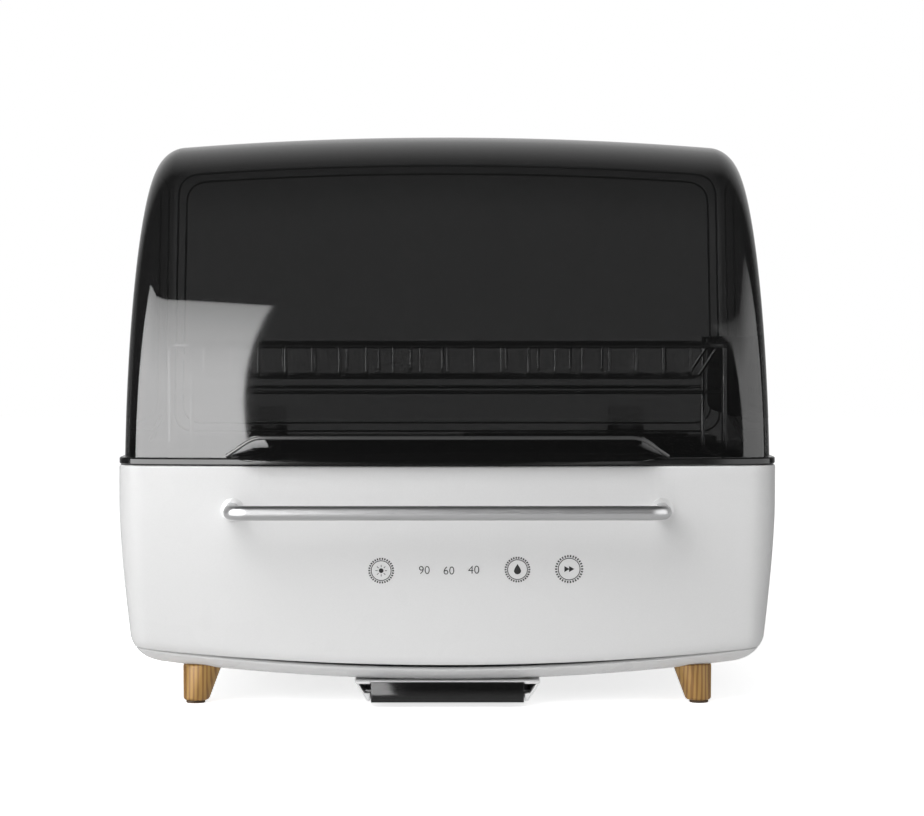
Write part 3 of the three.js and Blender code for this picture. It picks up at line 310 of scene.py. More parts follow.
def bent(corners: Sequence[Point], bend: float, steps: int = 5, closed: bool = False) -> list[Vector]:
    """Round the corners of a path.

    Args:
        corners: The corners in millimetres.
        bend: How far each bend reaches along the path from its corner.
        steps: How many steps each bend takes.
        closed: Whether the path joins up.

    Returns:
        The points of the rounded path.
    """
    points = [Vector(c) for c in corners]
    count = len(points)
    turning = range(count) if closed else range(1, count - 1)
    path: list[Vector] = [] if closed else [points[0]]
    for i in turning:
        corner, back, ahead = points[i], points[i - 1], points[(i + 1) % count]
        start = corner + (back - corner).normalized() * bend
        end = corner + (ahead - corner).normalized() * bend
        for k in range(steps + 1):
            t = k / steps
            path.append(start * (1 - t) ** 2 + corner * 2 * t * (1 - t) + end * t * t)
    return path if closed else [*path, points[-1]]


def finer(path: Sequence[Vector], step: float) -> list[Vector]:
    """Add points to a path so that they stand about a step apart.

    Args:
        path: Its points in millimetres.
        step: How far apart they may stand.

    Returns:
        The points with the new ones between them.
    """
    made: list[Vector] = []
    for here, ahead in zip(path, path[1:]):
        parts = max(round((ahead - here).length / step), 1)
        made += [here.lerp(ahead, k / parts) for k in range(parts)]
    return [*made, path[-1]]


def tube(
    name: str, corners: Sequence[Point], radius: float, bend: float = 0.0,
    sides: int = 3, closed: bool = False, steps: int = 5,
) -> Piece:
    """Add a round wire through its corners, with a round bend at each."""
    return wire(name, bent(corners, bend, steps, closed), radius, sides, closed)


def join(name: str, pieces: Sequence[Piece]) -> Piece:
    """Join several objects into one mesh and name it.

    Args:
        name: The name of the new object.
        pieces: The objects to join.

    Returns:
        The joined object.
    """
    select_only(pieces[0])
    for piece in pieces:
        piece.select_set(True)
    bpy.ops.object.join()
    return named(name)


def part_copy(node: str, name: str, rounding: Rounding = Rounding.NONE) -> Piece:
    """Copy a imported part, merge its loose triangles and round its edges.

    Args:
        node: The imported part's name.
        name: The name of the copy.
        rounding: How far its edges are rounded.

    Returns:
        The copy, shaded smooth below an angle.
    """
    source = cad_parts[node]
    piece = bpy.data.objects.new(name, source.data.copy())
    piece.data.name = name
    piece.data.materials.clear()
    bpy.context.scene.collection.objects.link(piece)
    merge(piece)
    edit(piece, lambda: bpy.ops.mesh.dissolve_limited(angle_limit=FLAT_WITHIN))
    if rounding is not Rounding.NONE:
        round_edges(piece, rounding.value)
    smooth(piece)
    return piece


class Wiring:
    """Adds nodes to one node tree and feeds their inputs."""

    def __init__(self, tree: bpy.types.NodeTree) -> None:
        """Work on one tree."""
        self.tree = tree

    def add(self, kind: str, inputs: dict | None = None, **settings: object) -> bpy.types.Node:
        """Add a node.

        Args:
            kind: Its type, without the words that every type starts with.
            inputs: What goes into its inputs.
            settings: Values for the node's own fields.

        Returns:
            The node.
        """
        node = self.tree.nodes.new(f"ShaderNode{kind}")
        for name, value in settings.items():
            setattr(node, name, value)
        self.feed(node, inputs or {})
        return node

    def feed(self, node: bpy.types.Node, inputs: dict) -> None:
        """Give each named input of a node a value or another node's output.

        Args:
            node: The node.
            inputs: What goes into each input, by its name or number.
        """
        for name, value in inputs.items():
            if isinstance(value, Socket):
                self.tree.links.new(value, node.inputs[name])
            else:
                node.inputs[name].default_value = value

    def fade(
        self, value: Socket, start: float, end: float, low: float | Socket, high: float | Socket,
    ) -> Socket:
        """A value that goes from low to high as another goes from start to end."""
        ends = {"Value": value, "From Min": start, "From Max": end, "To Min": low, "To Max": high}
        return self.add("MapRange", ends).outputs[0]

    def sum_up(self, operation: str, first: Socket, second: float | Socket) -> Socket:
        """The result of one sum with two values."""
        return self.add("Math", {0: first, 1: second}, operation=operation).outputs[0]


class Grain(Enum):
    """The kinds of surface texture that the finishes use."""

    MOULDED = "moulded_texture"
    DRAWN = "drawn_grain"
    TIMBER = "timber_grain"


class TextureGroups:
    """Builds each shared texture once, as a node group with named sockets."""

    INPUTS = (
        ("Colour", "Color"), ("Tint", "Color"), ("Stretch", "Vector"),
        ("Rough Low", "Float"), ("Rough High", "Float"),
    )
    OUTPUTS = (("Colour", "Color"), ("Roughness", "Float"), ("Height", "Float"))
    DETAIL = {Grain.MOULDED: 3.0, Grain.DRAWN: 5.0, Grain.TIMBER: 5.0}
    RINGS = {"Scale": 0.9, "Distortion": 5.0, "Detail": 3.0}
    RING_GAIN = 1.7
    SPREAD = (0.3, 0.7)
    BROAD_SCALE = 14.0
    MIX_FIRST, MIX_SECOND, MIX_RESULT = 6, 7, 2

    def get(self, grain: Grain) -> bpy.types.NodeTree:
        """Return the node group of a texture, building it when first asked for."""
        found = bpy.data.node_groups.get(grain.value)
        return found or self._build(grain)

    def _build(self, grain: Grain) -> bpy.types.NodeTree:
        """Build one texture group.

        Args:
            grain: The texture to build.

        Returns:
            The new node group.
        """
        tree = bpy.data.node_groups.new(grain.value, "ShaderNodeTree")
        for way, sockets in (("INPUT", self.INPUTS), ("OUTPUT", self.OUTPUTS)):
            for name, kind in sockets:
                tree.interface.new_socket(name=name, in_out=way, socket_type=f"NodeSocket{kind}")
        wiring = Wiring(tree)
        given, made = (tree.nodes.new(f"NodeGroup{end}") for end in ("Input", "Output"))
        place = wiring.add("TexCoord").outputs["Object"]
        stretch = wiring.add("VectorMath", {0: place, 1: given.outputs["Stretch"]}, operation="MULTIPLY")
        stretched = stretch.outputs[0]
        noise = wiring.add("TexNoise", {"Vector": stretched, "Scale": 1.0, "Detail": self.DETAIL[grain]})
        fine = mask = noise.outputs["Fac"]
        if grain is Grain.TIMBER:
            rings = wiring.add("TexWave", {"Vector": stretched, **self.RINGS}, bands_direction="X")
            blend = wiring.sum_up("MULTIPLY", rings.outputs["Fac"], fine)
            mask = wiring.sum_up("MULTIPLY", blend, self.RING_GAIN)
        mix = wiring.add("Mix", data_type="RGBA")
        share = wiring.fade(mask, *self.SPREAD, 0.0, 1.0)
        first, second = given.outputs["Colour"], given.outputs["Tint"]
        wiring.feed(mix, {"Factor": share, self.MIX_FIRST: first, self.MIX_SECOND: second})
        broad = wiring.add("TexNoise", {"Vector": place, "Scale": self.BROAD_SCALE}).outputs["Fac"]
        gloss = fine if grain is Grain.DRAWN else broad
        rough = wiring.fade(gloss, 0.0, 1.0, given.outputs["Rough Low"], given.outputs["Rough High"])
        wiring.feed(made, {"Colour": mix.outputs[self.MIX_RESULT], "Roughness": rough, "Height": mask})
        return tree


@dataclass(frozen=True)
class Finish:
    """One surface finish: its colours, gloss and texture."""

    name: str
    colour: Point
    tint: Point
    rough: Place
    grain: Grain = Grain.MOULDED
    stretch: Point = (900.0, 900.0, 900.0)
    bump: float = 0.02
    depth: float = 0.02
    metallic: float = 0.0
    alpha: float = 1.0
    specular: float = 0.5
    edge_alpha: float = 0.0

    def material(self, groups: TextureGroups) -> bpy.types.Material:
        """Return this finish as a material, building it when first asked for.

        Args:
            groups: Where the shared textures come from.

        Returns:
            The material.
        """
        found = bpy.data.materials.get(self.name)
        if found:
            return found
        material = bpy.data.materials.new(self.name)
        material.use_nodes = True
        wiring = Wiring(material.node_tree)
        texture = wiring.add("Group", node_tree=groups.get(self.grain))
        wiring.feed(texture, {
            "Colour": (*self.colour, 1), "Tint": (*self.tint, 1), "Stretch": self.stretch,
            "Rough Low": self.rough[0], "Rough High": self.rough[1],
        })
        height = {"Height": texture.outputs["Height"], "Strength": self.bump, "Distance": self.depth * MM}
        alpha = self.alpha
        if self.edge_alpha:
            facing = wiring.add("LayerWeight").outputs["Facing"]
            alpha = wiring.fade(facing, FACING_FROM, 1.0, self.alpha, self.edge_alpha)
        wiring.feed(material.node_tree.nodes["Principled BSDF"], {
            "Base Color": texture.outputs["Colour"], "Roughness": texture.outputs["Roughness"],
            "Metallic": self.metallic, "Specular IOR Level": self.specular, "Alpha": alpha,
            "Normal": wiring.add("Bump", height).outputs[0],
        })
        return material


def grey(level: float) -> Point:
    """A neutral colour of one level."""
    return (level, level, level)


WHITE = Finish("white_gloss", grey(0.785), grey(0.77), (0.24, 0.32), specular=0.08)
BLACK = Finish("black_gloss", grey(0.006), grey(0.011), (0.12, 0.2))
SATIN_BLACK = Finish("black_satin", grey(0.012), grey(0.02), (0.42, 0.55), bump=0.15)
SMOKED = Finish(
    "dome_acrylic", grey(0.004), grey(0.006), (0.03, 0.05), bump=0.0, alpha=0.635, specular=1.0,
    edge_alpha=0.95,
)
TINTED = Finish("hinge_acrylic", grey(0.01), grey(0.015), (0.2, 0.3), alpha=0.16)
# The rear wall's border beads are pale grey, far lighter than the smoked dome: a painted highlight along the
# frame's edges.
BEAD_PAINTED_HIGHLIGHT = Finish("bead_painted_highlight", grey(0.2), grey(0.24), (0.3, 0.4), bump=0.0, alpha=0.85)
RIM = Finish("rim_acrylic", grey(0.045), grey(0.055), (0.12, 0.2), bump=0.0, specular=0.8)
SMOKED_TRAY = Finish("tray_acrylic", grey(0.006), grey(0.01), (0.08, 0.14), alpha=0.86)
POLISHED = Finish("steel_polished", (0.78, 0.78, 0.79), (0.84, 0.84, 0.84), (0.1, 0.16), metallic=1.0)
# The handle rosettes are polished steel given a near-white, mostly non-metal colour: a painted reflection of
# the white studio round them.
ROSETTE_PAINTED_REFLECTION = Finish("steel_rosette_painted_reflection", (0.8, 0.8, 0.8), (0.78, 0.78, 0.78), (0.25, 0.32), metallic=0.25)
# The lid straps are polished steel, made pale and only partly metal so that the lamps light them: a painted
# glint.
STEEL_PAINTED_GLINT = Finish("steel_painted_glint", (0.9, 0.9, 0.9), (0.85, 0.85, 0.85), (0.25, 0.35), metallic=0.6)
BRUSHED = Finish(
    "steel_brushed", (0.46, 0.46, 0.465), (0.55, 0.55, 0.555), (0.3, 0.42), Grain.DRAWN,
    (60.0, 4000.0, 4000.0), bump=0.12, metallic=1.0,
)
ZINC = Finish("steel_zinc", (0.4, 0.41, 0.43), (0.5, 0.5, 0.5), (0.3, 0.42), metallic=1.0, bump=0.1)
GREY = Finish("grey_moulding", grey(0.5), grey(0.46), (0.45, 0.55), bump=0.15)
TIMBER = Finish(
    "golden_wood", (0.42, 0.235, 0.056), (0.25, 0.118, 0.024), (0.38, 0.5), Grain.TIMBER,
    (110.0, 90.0, 12.0), bump=0.2, depth=0.1,
)
RUBBER = Finish("rubber_pad", (0.08, 0.05, 0.025), (0.06, 0.035, 0.02), (0.7, 0.85), bump=0.2)
CERAMIC = Finish("ceramic_heater", (0.6, 0.56, 0.48), (0.5, 0.46, 0.4), (0.6, 0.7), bump=0.2)
LAMP = Finish("glass_lamp", (0.8, 0.85, 0.95), (0.75, 0.8, 0.9), (0.03, 0.05), alpha=0.5)
BOARD = Finish("board_green", (0.02, 0.13, 0.06), (0.03, 0.1, 0.05), (0.35, 0.45), bump=0.1)
INK = Finish("panel_ink", grey(0.022), grey(0.03), (0.5, 0.6), specular=0.2)


@dataclass
class Workshop:
    """Finishes pieces: gives each its material, its body and the parts that it stands for."""

    groups: TextureGroups = field(default_factory=TextureGroups)

    def paint(self, piece: Piece, finish: Finish) -> None:
        """Give a piece one finish all over."""
        piece.data.materials.clear()
        piece.data.materials.append(finish.material(self.groups))

    def place(
        self, piece: Piece, finish: Finish, body: str, slot: str, stands_for: Sequence[str] = (),
    ) -> None:
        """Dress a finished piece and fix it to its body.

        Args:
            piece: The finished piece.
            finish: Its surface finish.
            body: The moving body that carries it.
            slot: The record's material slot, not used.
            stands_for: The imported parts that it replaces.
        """
        self.paint(piece, finish)
        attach(piece, body)
        if stands_for:
            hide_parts(*stands_for)
        log.info("%s on %s, %d faces", piece.name, body, len(piece.data.polygons))

    def recast(
        self, node: str, suffix: str, finish: Finish, body: str, slot: str,
        rounding: Rounding = Rounding.NONE,
    ) -> None:
        """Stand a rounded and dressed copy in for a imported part.

        Args:
            node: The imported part's name.
            suffix: What the copy's name adds to it.
            finish: The copy's surface finish.
            body: The moving body that carries it.
            slot: The record's material slot.
            rounding: How far its edges are rounded.
        """
        self.place(part_copy(node, f"{node}_{suffix}", rounding), finish, body, slot, [node])

    def dress(self, nodes: Iterable[str], finish: Finish) -> None:
        """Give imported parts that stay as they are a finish."""
        for node in nodes:
            self.paint(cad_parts[node], finish)
            log.info("%s keeps its shape and gets %s", node, finish.name)


@dataclass
class HullShape:
    """The outer form of the white base, in millimetres."""

    width: float = 480
    depth: float = 340
    front_y: float = -157.15
    top_z: float = 175.5
    bow: float = 18
    front_radius: float = 24
    rear_radius: float = 12
    least_radius: float = 4
    taper: float = 7.6
    taper_top: float = 148
    taper_foot: float = 50
    taper_power: float = 1.5
    round_width: float = 28
    round_height: float = 20
    foot_z: float = 31
    belly_drop: float = 12
    belly_half: float = 212
    belly_fade: float = 110
    top_round: float = 1.6
    corner_sample: float = 8
    side_steps: int = 12
    corner_steps: int = 14
    front_steps: int = 72
    key_digits: int = 4

    @property
    def rear_y(self) -> float:
        """The back of the base."""
        return self.front_y + self.depth

    def bow_at(self, x: float) -> float:
        """How far the front falls back at a distance from the middle."""
        return self.bow * (2 * x / self.width) ** 2

    def round_in(self, z: float) -> float:
        """How far the bottom edge is rounded in at a height."""
        drop = min(max((self.taper_foot - z) / self.round_height, 0), 1)
        return self.round_width * (1 - math.sqrt(1 - drop**2))

    def taper_in(self, z: float) -> float:
        """How far the sides have drawn in at a height."""
        share = min(max((self.taper_top - z) / (self.taper_top - self.taper_foot), 0), 1)
        return self.taper * share**self.taper_power

    def belly_at(self, x: float, z: float) -> float:
        """How far the belly lowers a point."""
        fade = min(max((self.belly_fade - z) / (self.belly_fade - self.taper_foot), 0), 1)
        return self.belly_drop * (1 - (x / self.belly_half) ** 2) * fade

    def face_at(self, x: float, z: float) -> float:
        """Where the drawer's face lies at a place on it, above the rounded bottom.

        Args:
            x: The distance from the middle.
            z: The height on the finished face.

        Returns:
            How far back the face lies.
        """
        span = self.belly_fade - self.taper_foot
        drop = self.belly_drop * (1 - (x / self.belly_half) ** 2)
        if z < self.belly_fade:
            z = (z + drop * self.belly_fade / span) / (1 + drop / span)
        return self.front_y + self.taper_in(z) + self.round_in(z) + self.bow_at(x)

    def outline(self, rear: bool, inset: float, rear_inset: float, split_y: float) -> list[Place]:
        """The front or rear half of the plan outline.

        Args:
            rear: Whether the rear half is wanted, which runs from right to left.
            inset: How far the outline is drawn in.
            rear_inset: How far its back is drawn in.
            split_y: Where the half begins and ends on the sides.

        Returns:
            Its points, as many for either half.
        """
        half, back_y = self.width / 2 - inset, self.rear_y - rear_inset
        if rear:
            radius = max(self.rear_radius - rear_inset, self.least_radius)
            turn, lean = math.pi / 2, 0.0
            centre_y = back_y - radius
        else:
            radius = max(self.front_radius - inset, self.least_radius)
            lean = math.atan(2 * self.bow_at(half - radius) / (half - radius))
            turn = math.pi / 2 - lean
            start = half - radius + radius * math.sin(lean)
            centre_y = self.front_y + inset + self.bow_at(start) + radius * math.cos(lean)
        run = centre_y - split_y
        right = [(half, split_y + run * i / self.side_steps) for i in range(self.side_steps)]
        out = radius if rear else -radius
        for angle in (turn * i / self.corner_steps for i in range(self.corner_steps + 1)):
            right.append((half - radius + radius * math.cos(angle), centre_y + out * math.sin(angle)))
        end_x = right[-1][0]
        across = [end_x * (1 - 2 * i / self.front_steps) for i in range(1, self.front_steps)]
        middle = [(x, back_y if rear else self.front_y + inset + self.bow_at(x)) for x in across]
        full = right + middle + [(-x, y) for x, y in reversed(right)]
        return full if rear else full[::-1]

    def crest_drop(self, share: float, inset: float) -> float:
        """How far the rounded crest has dropped at an inset."""
        if share < 1 or inset >= self.top_round:
            return 0.0
        return self.top_round - math.sqrt(max(self.top_round**2 - (self.top_round - inset) ** 2, 0))

    def skin(
        self, name: str, rear: bool, split_y: float, shares: Sequence[Place],
        edge: Callable[[float], float],
    ) -> Piece:
        """Build the outer surface of a side moulding.

        Args:
            name: The name of the new object.
            rear: Whether it goes round the back.
            split_y: Where it ends on the sides.
            shares: Heights as shares from its edge to the top, with how far each is drawn in.
            edge: The height of its bottom edge at a distance from the middle.

        Returns:
            The open surface.
        """
        middle_line = self.outline(rear, self.corner_sample, self.corner_sample, split_y)
        outlines: dict[Place, list[Place]] = {}
        rows = []
        for share, inset in shares:
            row = []
            for column, (sample_x, _) in enumerate(middle_line):
                low = edge(sample_x)
                z = low + (self.top_z - low) * min(share, 1)
                rounded = self.round_in(z) + inset
                drawn_in = rounded + self.taper_in(z)
                key = (round(drawn_in, self.key_digits), round(rounded, self.key_digits))
                if key not in outlines:
                    outlines[key] = self.outline(rear, drawn_in, rounded, split_y)
                x, y = outlines[key][column]
                row.append((x, y, z - self.belly_at(x, z) - self.crest_drop(share, inset)))
            rows.append(row)
        return patch(name, rows)


@dataclass
class WhiteBase:
    """The white mouldings: the drawer's front, the shell behind it and the pan under both."""

    shop: Workshop
    hull: HullShape
    wall: float = 3
    lip: float = 10
    wrap: float = 47
    parting: float = 1
    pan_top: float = 39.4
    pan_rows: tuple[int, int] = (8, 10)
    pan_power: float = 1.6
    reveal_middle: float = 4
    reveal_corner: float = 1
    seat: float = 0.3
    rows: int = 40
    flank_share: float = 0.9885
    crest_angles: tuple[int, ...] = (25, 45, 65, 90)
    cover_half: float = 122
    cover_z: Place = (70, 142)
    inlet: tuple[float, float, float, float] = (186, 72, 27.6, 20.6)
    cut_reach: float = 20
    screw_hole: float = 2.3
    screw_segments: int = 16
    inside: Point = (0, 10, 90)
    screw_places: tuple[Place, ...] = ((-126, 70), (-126, 142), (126, 70), (126, 142))

    def profile(self) -> list[Place]:
        """Shares of the height and insets, from the bottom edge up and in over the top.

        Returns:
            The pairs of share and inset.
        """
        flank = [(i / self.rows * self.flank_share, 0.0) for i in range(self.rows + 1)]
        radius = self.hull.top_round
        crest = [(1.0, radius * (1 - math.cos(math.radians(a)))) for a in self.crest_angles]
        return flank + crest + [(1.0, self.lip / 2), (1.0, self.lip)]

    def reveal(self, x: float) -> float:
        """The height of the drawer front's bottom edge."""
        share = min((x / self.hull.belly_half) ** 2, 1)
        return self.pan_top + self.reveal_middle + (self.reveal_corner - self.reveal_middle) * share

    def thicken(self, piece: Piece, even: bool = True) -> None:
        """Give an outer surface its wall and round its edges.

        Args:
            piece: The open surface.
            even: Whether the wall keeps its thickness at corners.
        """
        face_away(piece, Vector(self.inside) * MM)
        modify(piece, "SOLIDIFY", thickness=self.wall * MM, offset=-1, use_even_offset=even)
        round_edges(piece, Rounding.SOFT.value)
        smooth(piece)

    def build(self) -> None:
        """Build the three mouldings."""
        hull = self.hull
        split = hull.front_y + self.wrap
        front = hull.skin("drawer_front_skin", False, split, self.profile(), self.reveal)
        self.thicken(front)
        self.shop.place(front, WHITE, "drawer", "white_shell", ["drawer_front"])
        shell = hull.skin(
            "body_shell_skin", True, split + self.parting, self.profile(),
            lambda x: self.pan_top + self.seat,
        )
        self.thicken(shell)
        carve(shell, self.cutters())
        smooth(shell)
        self.shop.place(shell, WHITE, "cabinet", "white_shell", ["body_shell"])
        self.shop.place(self.pan(), WHITE, "cabinet", "white_shell", ["base_pan"])

    def cutters(self) -> list[Piece]:
        """The shapes cut out of the shell's back: the vent window, the inlet and the screw holes.

        Returns:
            The cutters.
        """
        near, far = self.hull.rear_y - self.cut_reach, self.hull.rear_y + self.cut_reach
        x, z, width, height = self.inlet
        low_z, high_z = self.cover_z
        return [
            block("cut_vent", (-self.cover_half, near, low_z), (self.cover_half, far, high_z)),
            block("cut_inlet", (x - width / 2, near, z - height / 2), (x + width / 2, far, z + height / 2)),
        ] + [
            disc("cut_screw", (sx, self.hull.rear_y, sz), self.screw_hole, far - near, self.screw_segments)
            for sx, sz in self.screw_places
        ]

    def pan(self) -> Piece:
        """Build the pan: a full loop from under the belly up to its edge, with a floor.

        Returns:
            The pan.
        """
        hull = self.hull
        floor_rows, side_rows = self.pan_rows
        split = (hull.front_y + hull.rear_y) / 2
        sides = []
        for i in range(side_rows + 1):
            z = hull.foot_z + (self.pan_top - hull.foot_z) * (i / side_rows) ** self.pan_power
            rounded = hull.round_in(z)
            inset = rounded + hull.taper_in(z)
            ring = hull.outline(False, inset, rounded, split) + hull.outline(True, inset, rounded, split)
            sides.append([(x, y, z - hull.belly_at(x, z)) for x, y in [*ring, ring[0]]])
        floor = []
        for share in (i / floor_rows for i in range(floor_rows)):
            ring = [(x * share, split + (y - split) * share) for x, y, _ in sides[0]]
            floor.append([(x, y, hull.foot_z - hull.belly_at(x, hull.foot_z)) for x, y in ring])
        piece = patch("base_pan_skin", floor + sides)
        self.thicken(piece, False)
        return piece


@dataclass
class SmokedLid:
    """The smoked dome with its finger lip, rear border beads, straps and hinge leaves."""

    shop: Workshop
    hull: HullShape
    foot_z: float = 181.3
    rise: float = 247
    inset: float = 4
    wall: float = 3
    edge: float = 20
    rear_edge: float = 8
    crest_setback: float = 256
    rear_drop: float = 11
    crown_drop: float = 8.2
    crown_half: float = 218
    draft: float = 0.021
    front_points: int = 64
    top_points: int = 22
    shoulder_points: int = 8
    back_points: int = 26
    edge_steps: int = 12
    crown_steps: int = 64
    cap_steps: int = 8
    lip_reach: float = 13
    lip_height: float = 16
    lip_half_top: float = 140
    lip_half_foot: float = 160
    lip_plate: float = 2.4
    lip_drop: float = 2
    lip_growth: tuple[float, ...] = (0.06, 0.22, 0.35, 0.5, 0.62, 0.75, 0.84, 0.93, 1.0)
    lip_steps: int = 12
    lip_sink: float = 0.05
    lip_face: tuple[Place, ...] = ((0.8, 0.07), (0.55, 0.18), (0.36, 0.33), (0.2, 0.5), (0.07, 0.76))
    lip_back: tuple[float, Place] = (0.35, (0.2, 0.22))
    rim_radius: float = 1.6
    rim_drop: float = 1.5
    rim_bend: float = 7
    bead_radius: float = 0.9
    bead_insets: Place = (7, 14)
    bead_bend: float = 18
    bead_step: float = 12
    bead_sides: int = 2
    bend_steps: int = 8
    inside: Point = (0, 20, 200)

    @property
    def half(self) -> float:
        """Half the lid's width at its foot."""
        return self.hull.width / 2 - self.inset

    @property
    def face_y(self) -> float:
        """The lid's front at its foot, on the middle line."""
        return self.hull.front_y + self.inset

    @property
    def back_y(self) -> float:
        """The lid's back."""
        return self.hull.rear_y - self.inset

    def warp(self, x: float, y: float, z: float) -> Point:
        """Bow the front, lower the crown's sides and lean the sides in."""
        rise = z - self.foot_z
        return (
            x * (1 - self.draft * rise / self.half),
            y + self.hull.bow_at(x) * (self.hull.rear_y - y) / self.hull.depth,
            z - self.crown_drop * (x / self.crown_half) ** 2 * (rise / self.rise),
        )

    def section(self, x: float, wall: float) -> list[Point]:
        """The dome's outline from its front foot over the crest to its back foot.

        Args:
            x: The distance from the middle.
            wall: How far inside the outer surface it lies.

        Returns:
            Its points.
        """

        def drawn_in(radius: float) -> float:
            """How far the surface has turned in towards the side, round an edge of a radius."""
            past = max(abs(x) - (self.half - wall - radius), 0)
            return radius - math.sqrt(max(radius**2 - past**2, 0))

        inset = wall + drawn_in(self.edge - wall)
        depth, height = self.crest_setback - inset, self.rise - inset
        crest_y = self.face_y + self.crest_setback
        ring: list[Place] = []
        for i in range(self.front_points):
            angle = math.pi / 2 * i / (self.front_points - 1)
            ring.append((crest_y - depth * math.cos(angle), self.foot_z + height * math.sin(angle)))
        radius = self.rear_edge - wall
        back_y = self.back_y - wall - drawn_in(radius)
        run = back_y - radius - crest_y
        for i in range(1, self.top_points + 1):
            share = i / self.top_points
            ring.append((crest_y + run * share, self.foot_z + height - self.rear_drop * share**2))
        shoulder = self.foot_z + height - self.rear_drop - radius
        for i in range(1, self.shoulder_points + 1):
            angle = math.pi / 2 * (1 - i / self.shoulder_points)
            ring.append((back_y - radius * (1 - math.cos(angle)), shoulder + radius * math.sin(angle)))
        for i in range(1, self.back_points + 1):
            ring.append((back_y, shoulder - (shoulder - self.foot_z) * i / self.back_points))
        return [self.warp(x, y, z) for y, z in ring]

    def surface(self, name: str, wall: float) -> Piece:
        """Build one of the dome's two surfaces, with its flat sides closed across.

        Args:
            name: The name of the new object.
            wall: How far inside the outer surface it lies.

        Returns:
            The surface, open at its foot.
        """
        flat, edge = self.half - self.edge, self.edge - wall
        turns = [math.pi / 2 * i / self.edge_steps for i in range(1, self.edge_steps + 1)]
        side = [flat + edge * math.sin(turn) for turn in turns]
        crown = [flat * (2 * i / self.crown_steps - 1) for i in range(self.crown_steps + 1)]
        places = [-x for x in reversed(side)] + crown + side
        sections = [self.section(x, wall) for x in places]
        last = len(sections) - 1
        columns = []
        for column in range(-self.cap_steps, last + self.cap_steps + 1):
            section = [Vector(point) for point in sections[min(max(column, 0), last)]]
            past = max(-column, column - last, 0) / self.cap_steps
            columns.append([here.lerp(far, past / 2) for here, far in zip(section, reversed(section))])
        piece = patch(name, list(zip(*columns)))
        face_away(piece, Vector(self.inside) * MM)
        return piece

    def dome(self) -> Piece:
        """Build the dome: an outer and an inner surface, joined round its foot.

        Returns:
            The dome.
        """
        outer, inner = self.surface("lid_dome", 0), self.surface("lid_dome_inside", self.wall)
        edit(inner, bpy.ops.mesh.flip_normals)
        piece = join("lid_dome", [outer, inner])

        def join_feet() -> None:
            """Bridge the two open edges round the foot."""
            bpy.ops.mesh.select_all(action="DESELECT")
            bpy.ops.mesh.select_mode(type="EDGE")
            bpy.ops.mesh.select_non_manifold(
                extend=False, use_wire=False, use_multi_face=False, use_non_contiguous=False,
                use_verts=False,
            )
            bpy.ops.mesh.bridge_edge_loops()

        edit(piece, join_feet, lambda: bpy.ops.mesh.normals_make_consistent(inside=False))
        smooth(piece, Crease.CURVED)
        return piece

    def lip_outline(self, share: float) -> list[Place]:
        """The lip's outline where it has grown to a share of its full size.

        Args:
            share: The share.

        Returns:
            Its points, as places ahead of the foot and above it.
        """
        reach, height = self.lip_reach * share, self.lip_height * share
        clear = self.inset + self.lip_plate
        drop = self.lip_drop * max((reach - clear) / (self.lip_reach - clear), 0)
        top, back = self.lip_back
        return [
            (-reach, -drop), *((-reach * out, height * up) for out, up in self.lip_face),
            (-self.lip_sink, height), (-self.lip_sink, height * top),
            (-reach * back[0], height * back[1]), (-reach + self.lip_plate * share, -drop),
        ]

    def finger_lip(self) -> Piece:
        """Build the lip that stands out from the lid's foot.

        Returns:
            The lip.
        """
        step = (self.lip_half_foot - self.lip_half_top) / (len(self.lip_growth) - 1)
        slant = [(self.lip_half_foot - step * i, share) for i, share in enumerate(self.lip_growth)]
        middle = [(self.lip_half_top * (i / self.lip_steps - 1), 1.0) for i in range(1, 2 * self.lip_steps)]
        places = [(-x, share) for x, share in slant] + middle + slant[::-1]
        columns = []
        for x, share in places:
            outline = self.lip_outline(share)
            ring = [*outline, outline[0]]
            columns.append([self.warp(x, self.face_y + y, self.foot_z + z) for y, z in ring])
        piece = patch("lid_finger_lip", list(zip(*columns)))
        close(piece)
        round_edges(piece, Rounding.SOFT.value)
        smooth(piece)
        return piece

    def lip_rim(self) -> Piece:
        """Build the rounded rim that frames the finger lip.

        Returns:
            The rim.
        """
        high = self.lip_height - self.rim_drop
        corners = [
            (-self.lip_half_foot, 0, self.rim_radius / 2), (-self.lip_half_top, 0, high),
            (self.lip_half_top, 0, high), (self.lip_half_foot, 0, self.rim_radius / 2),
        ]
        path = finer(bent(corners, self.rim_bend, self.bend_steps), self.bead_step)
        on_face = []
        for point in path:
            back = self.crest_setback * (1 - math.sqrt(1 - (point.z / self.rise) ** 2))
            on_face.append(Vector(self.warp(point.x, self.face_y + back, self.foot_z + point.z)))
        piece = wire("lid_lip_rim", on_face, self.rim_radius)
        smooth(piece, Crease.WIRE)
        return piece

    def border_beads(self) -> Piece:
        """Build the two thin beads round the rear wall, which follow its arched top.

        Returns:
            Both beads as one object.
        """
        beads = []
        inner_y = self.back_y - self.wall + self.bead_radius / 2
        for number, inset in enumerate(self.bead_insets):
            half, low = self.half - inset, self.foot_z + inset
            high = self.foot_z + self.rise - self.rear_drop - inset
            corners = [(x, inner_y, z) for x, z in ((-half, low), (half, low), (half, high), (-half, high))]
            rounded = bent(corners, self.bead_bend, self.bend_steps, closed=True)
            path = [Vector(self.warp(*p)) for p in finer([*rounded, rounded[0]], self.bead_step)[:-1]]
            beads.append(wire(f"bead_{number}", path, self.bead_radius, self.bead_sides, closed=True))
        piece = join("lid_border_beads", beads)
        smooth(piece, Crease.WIRE)
        return piece

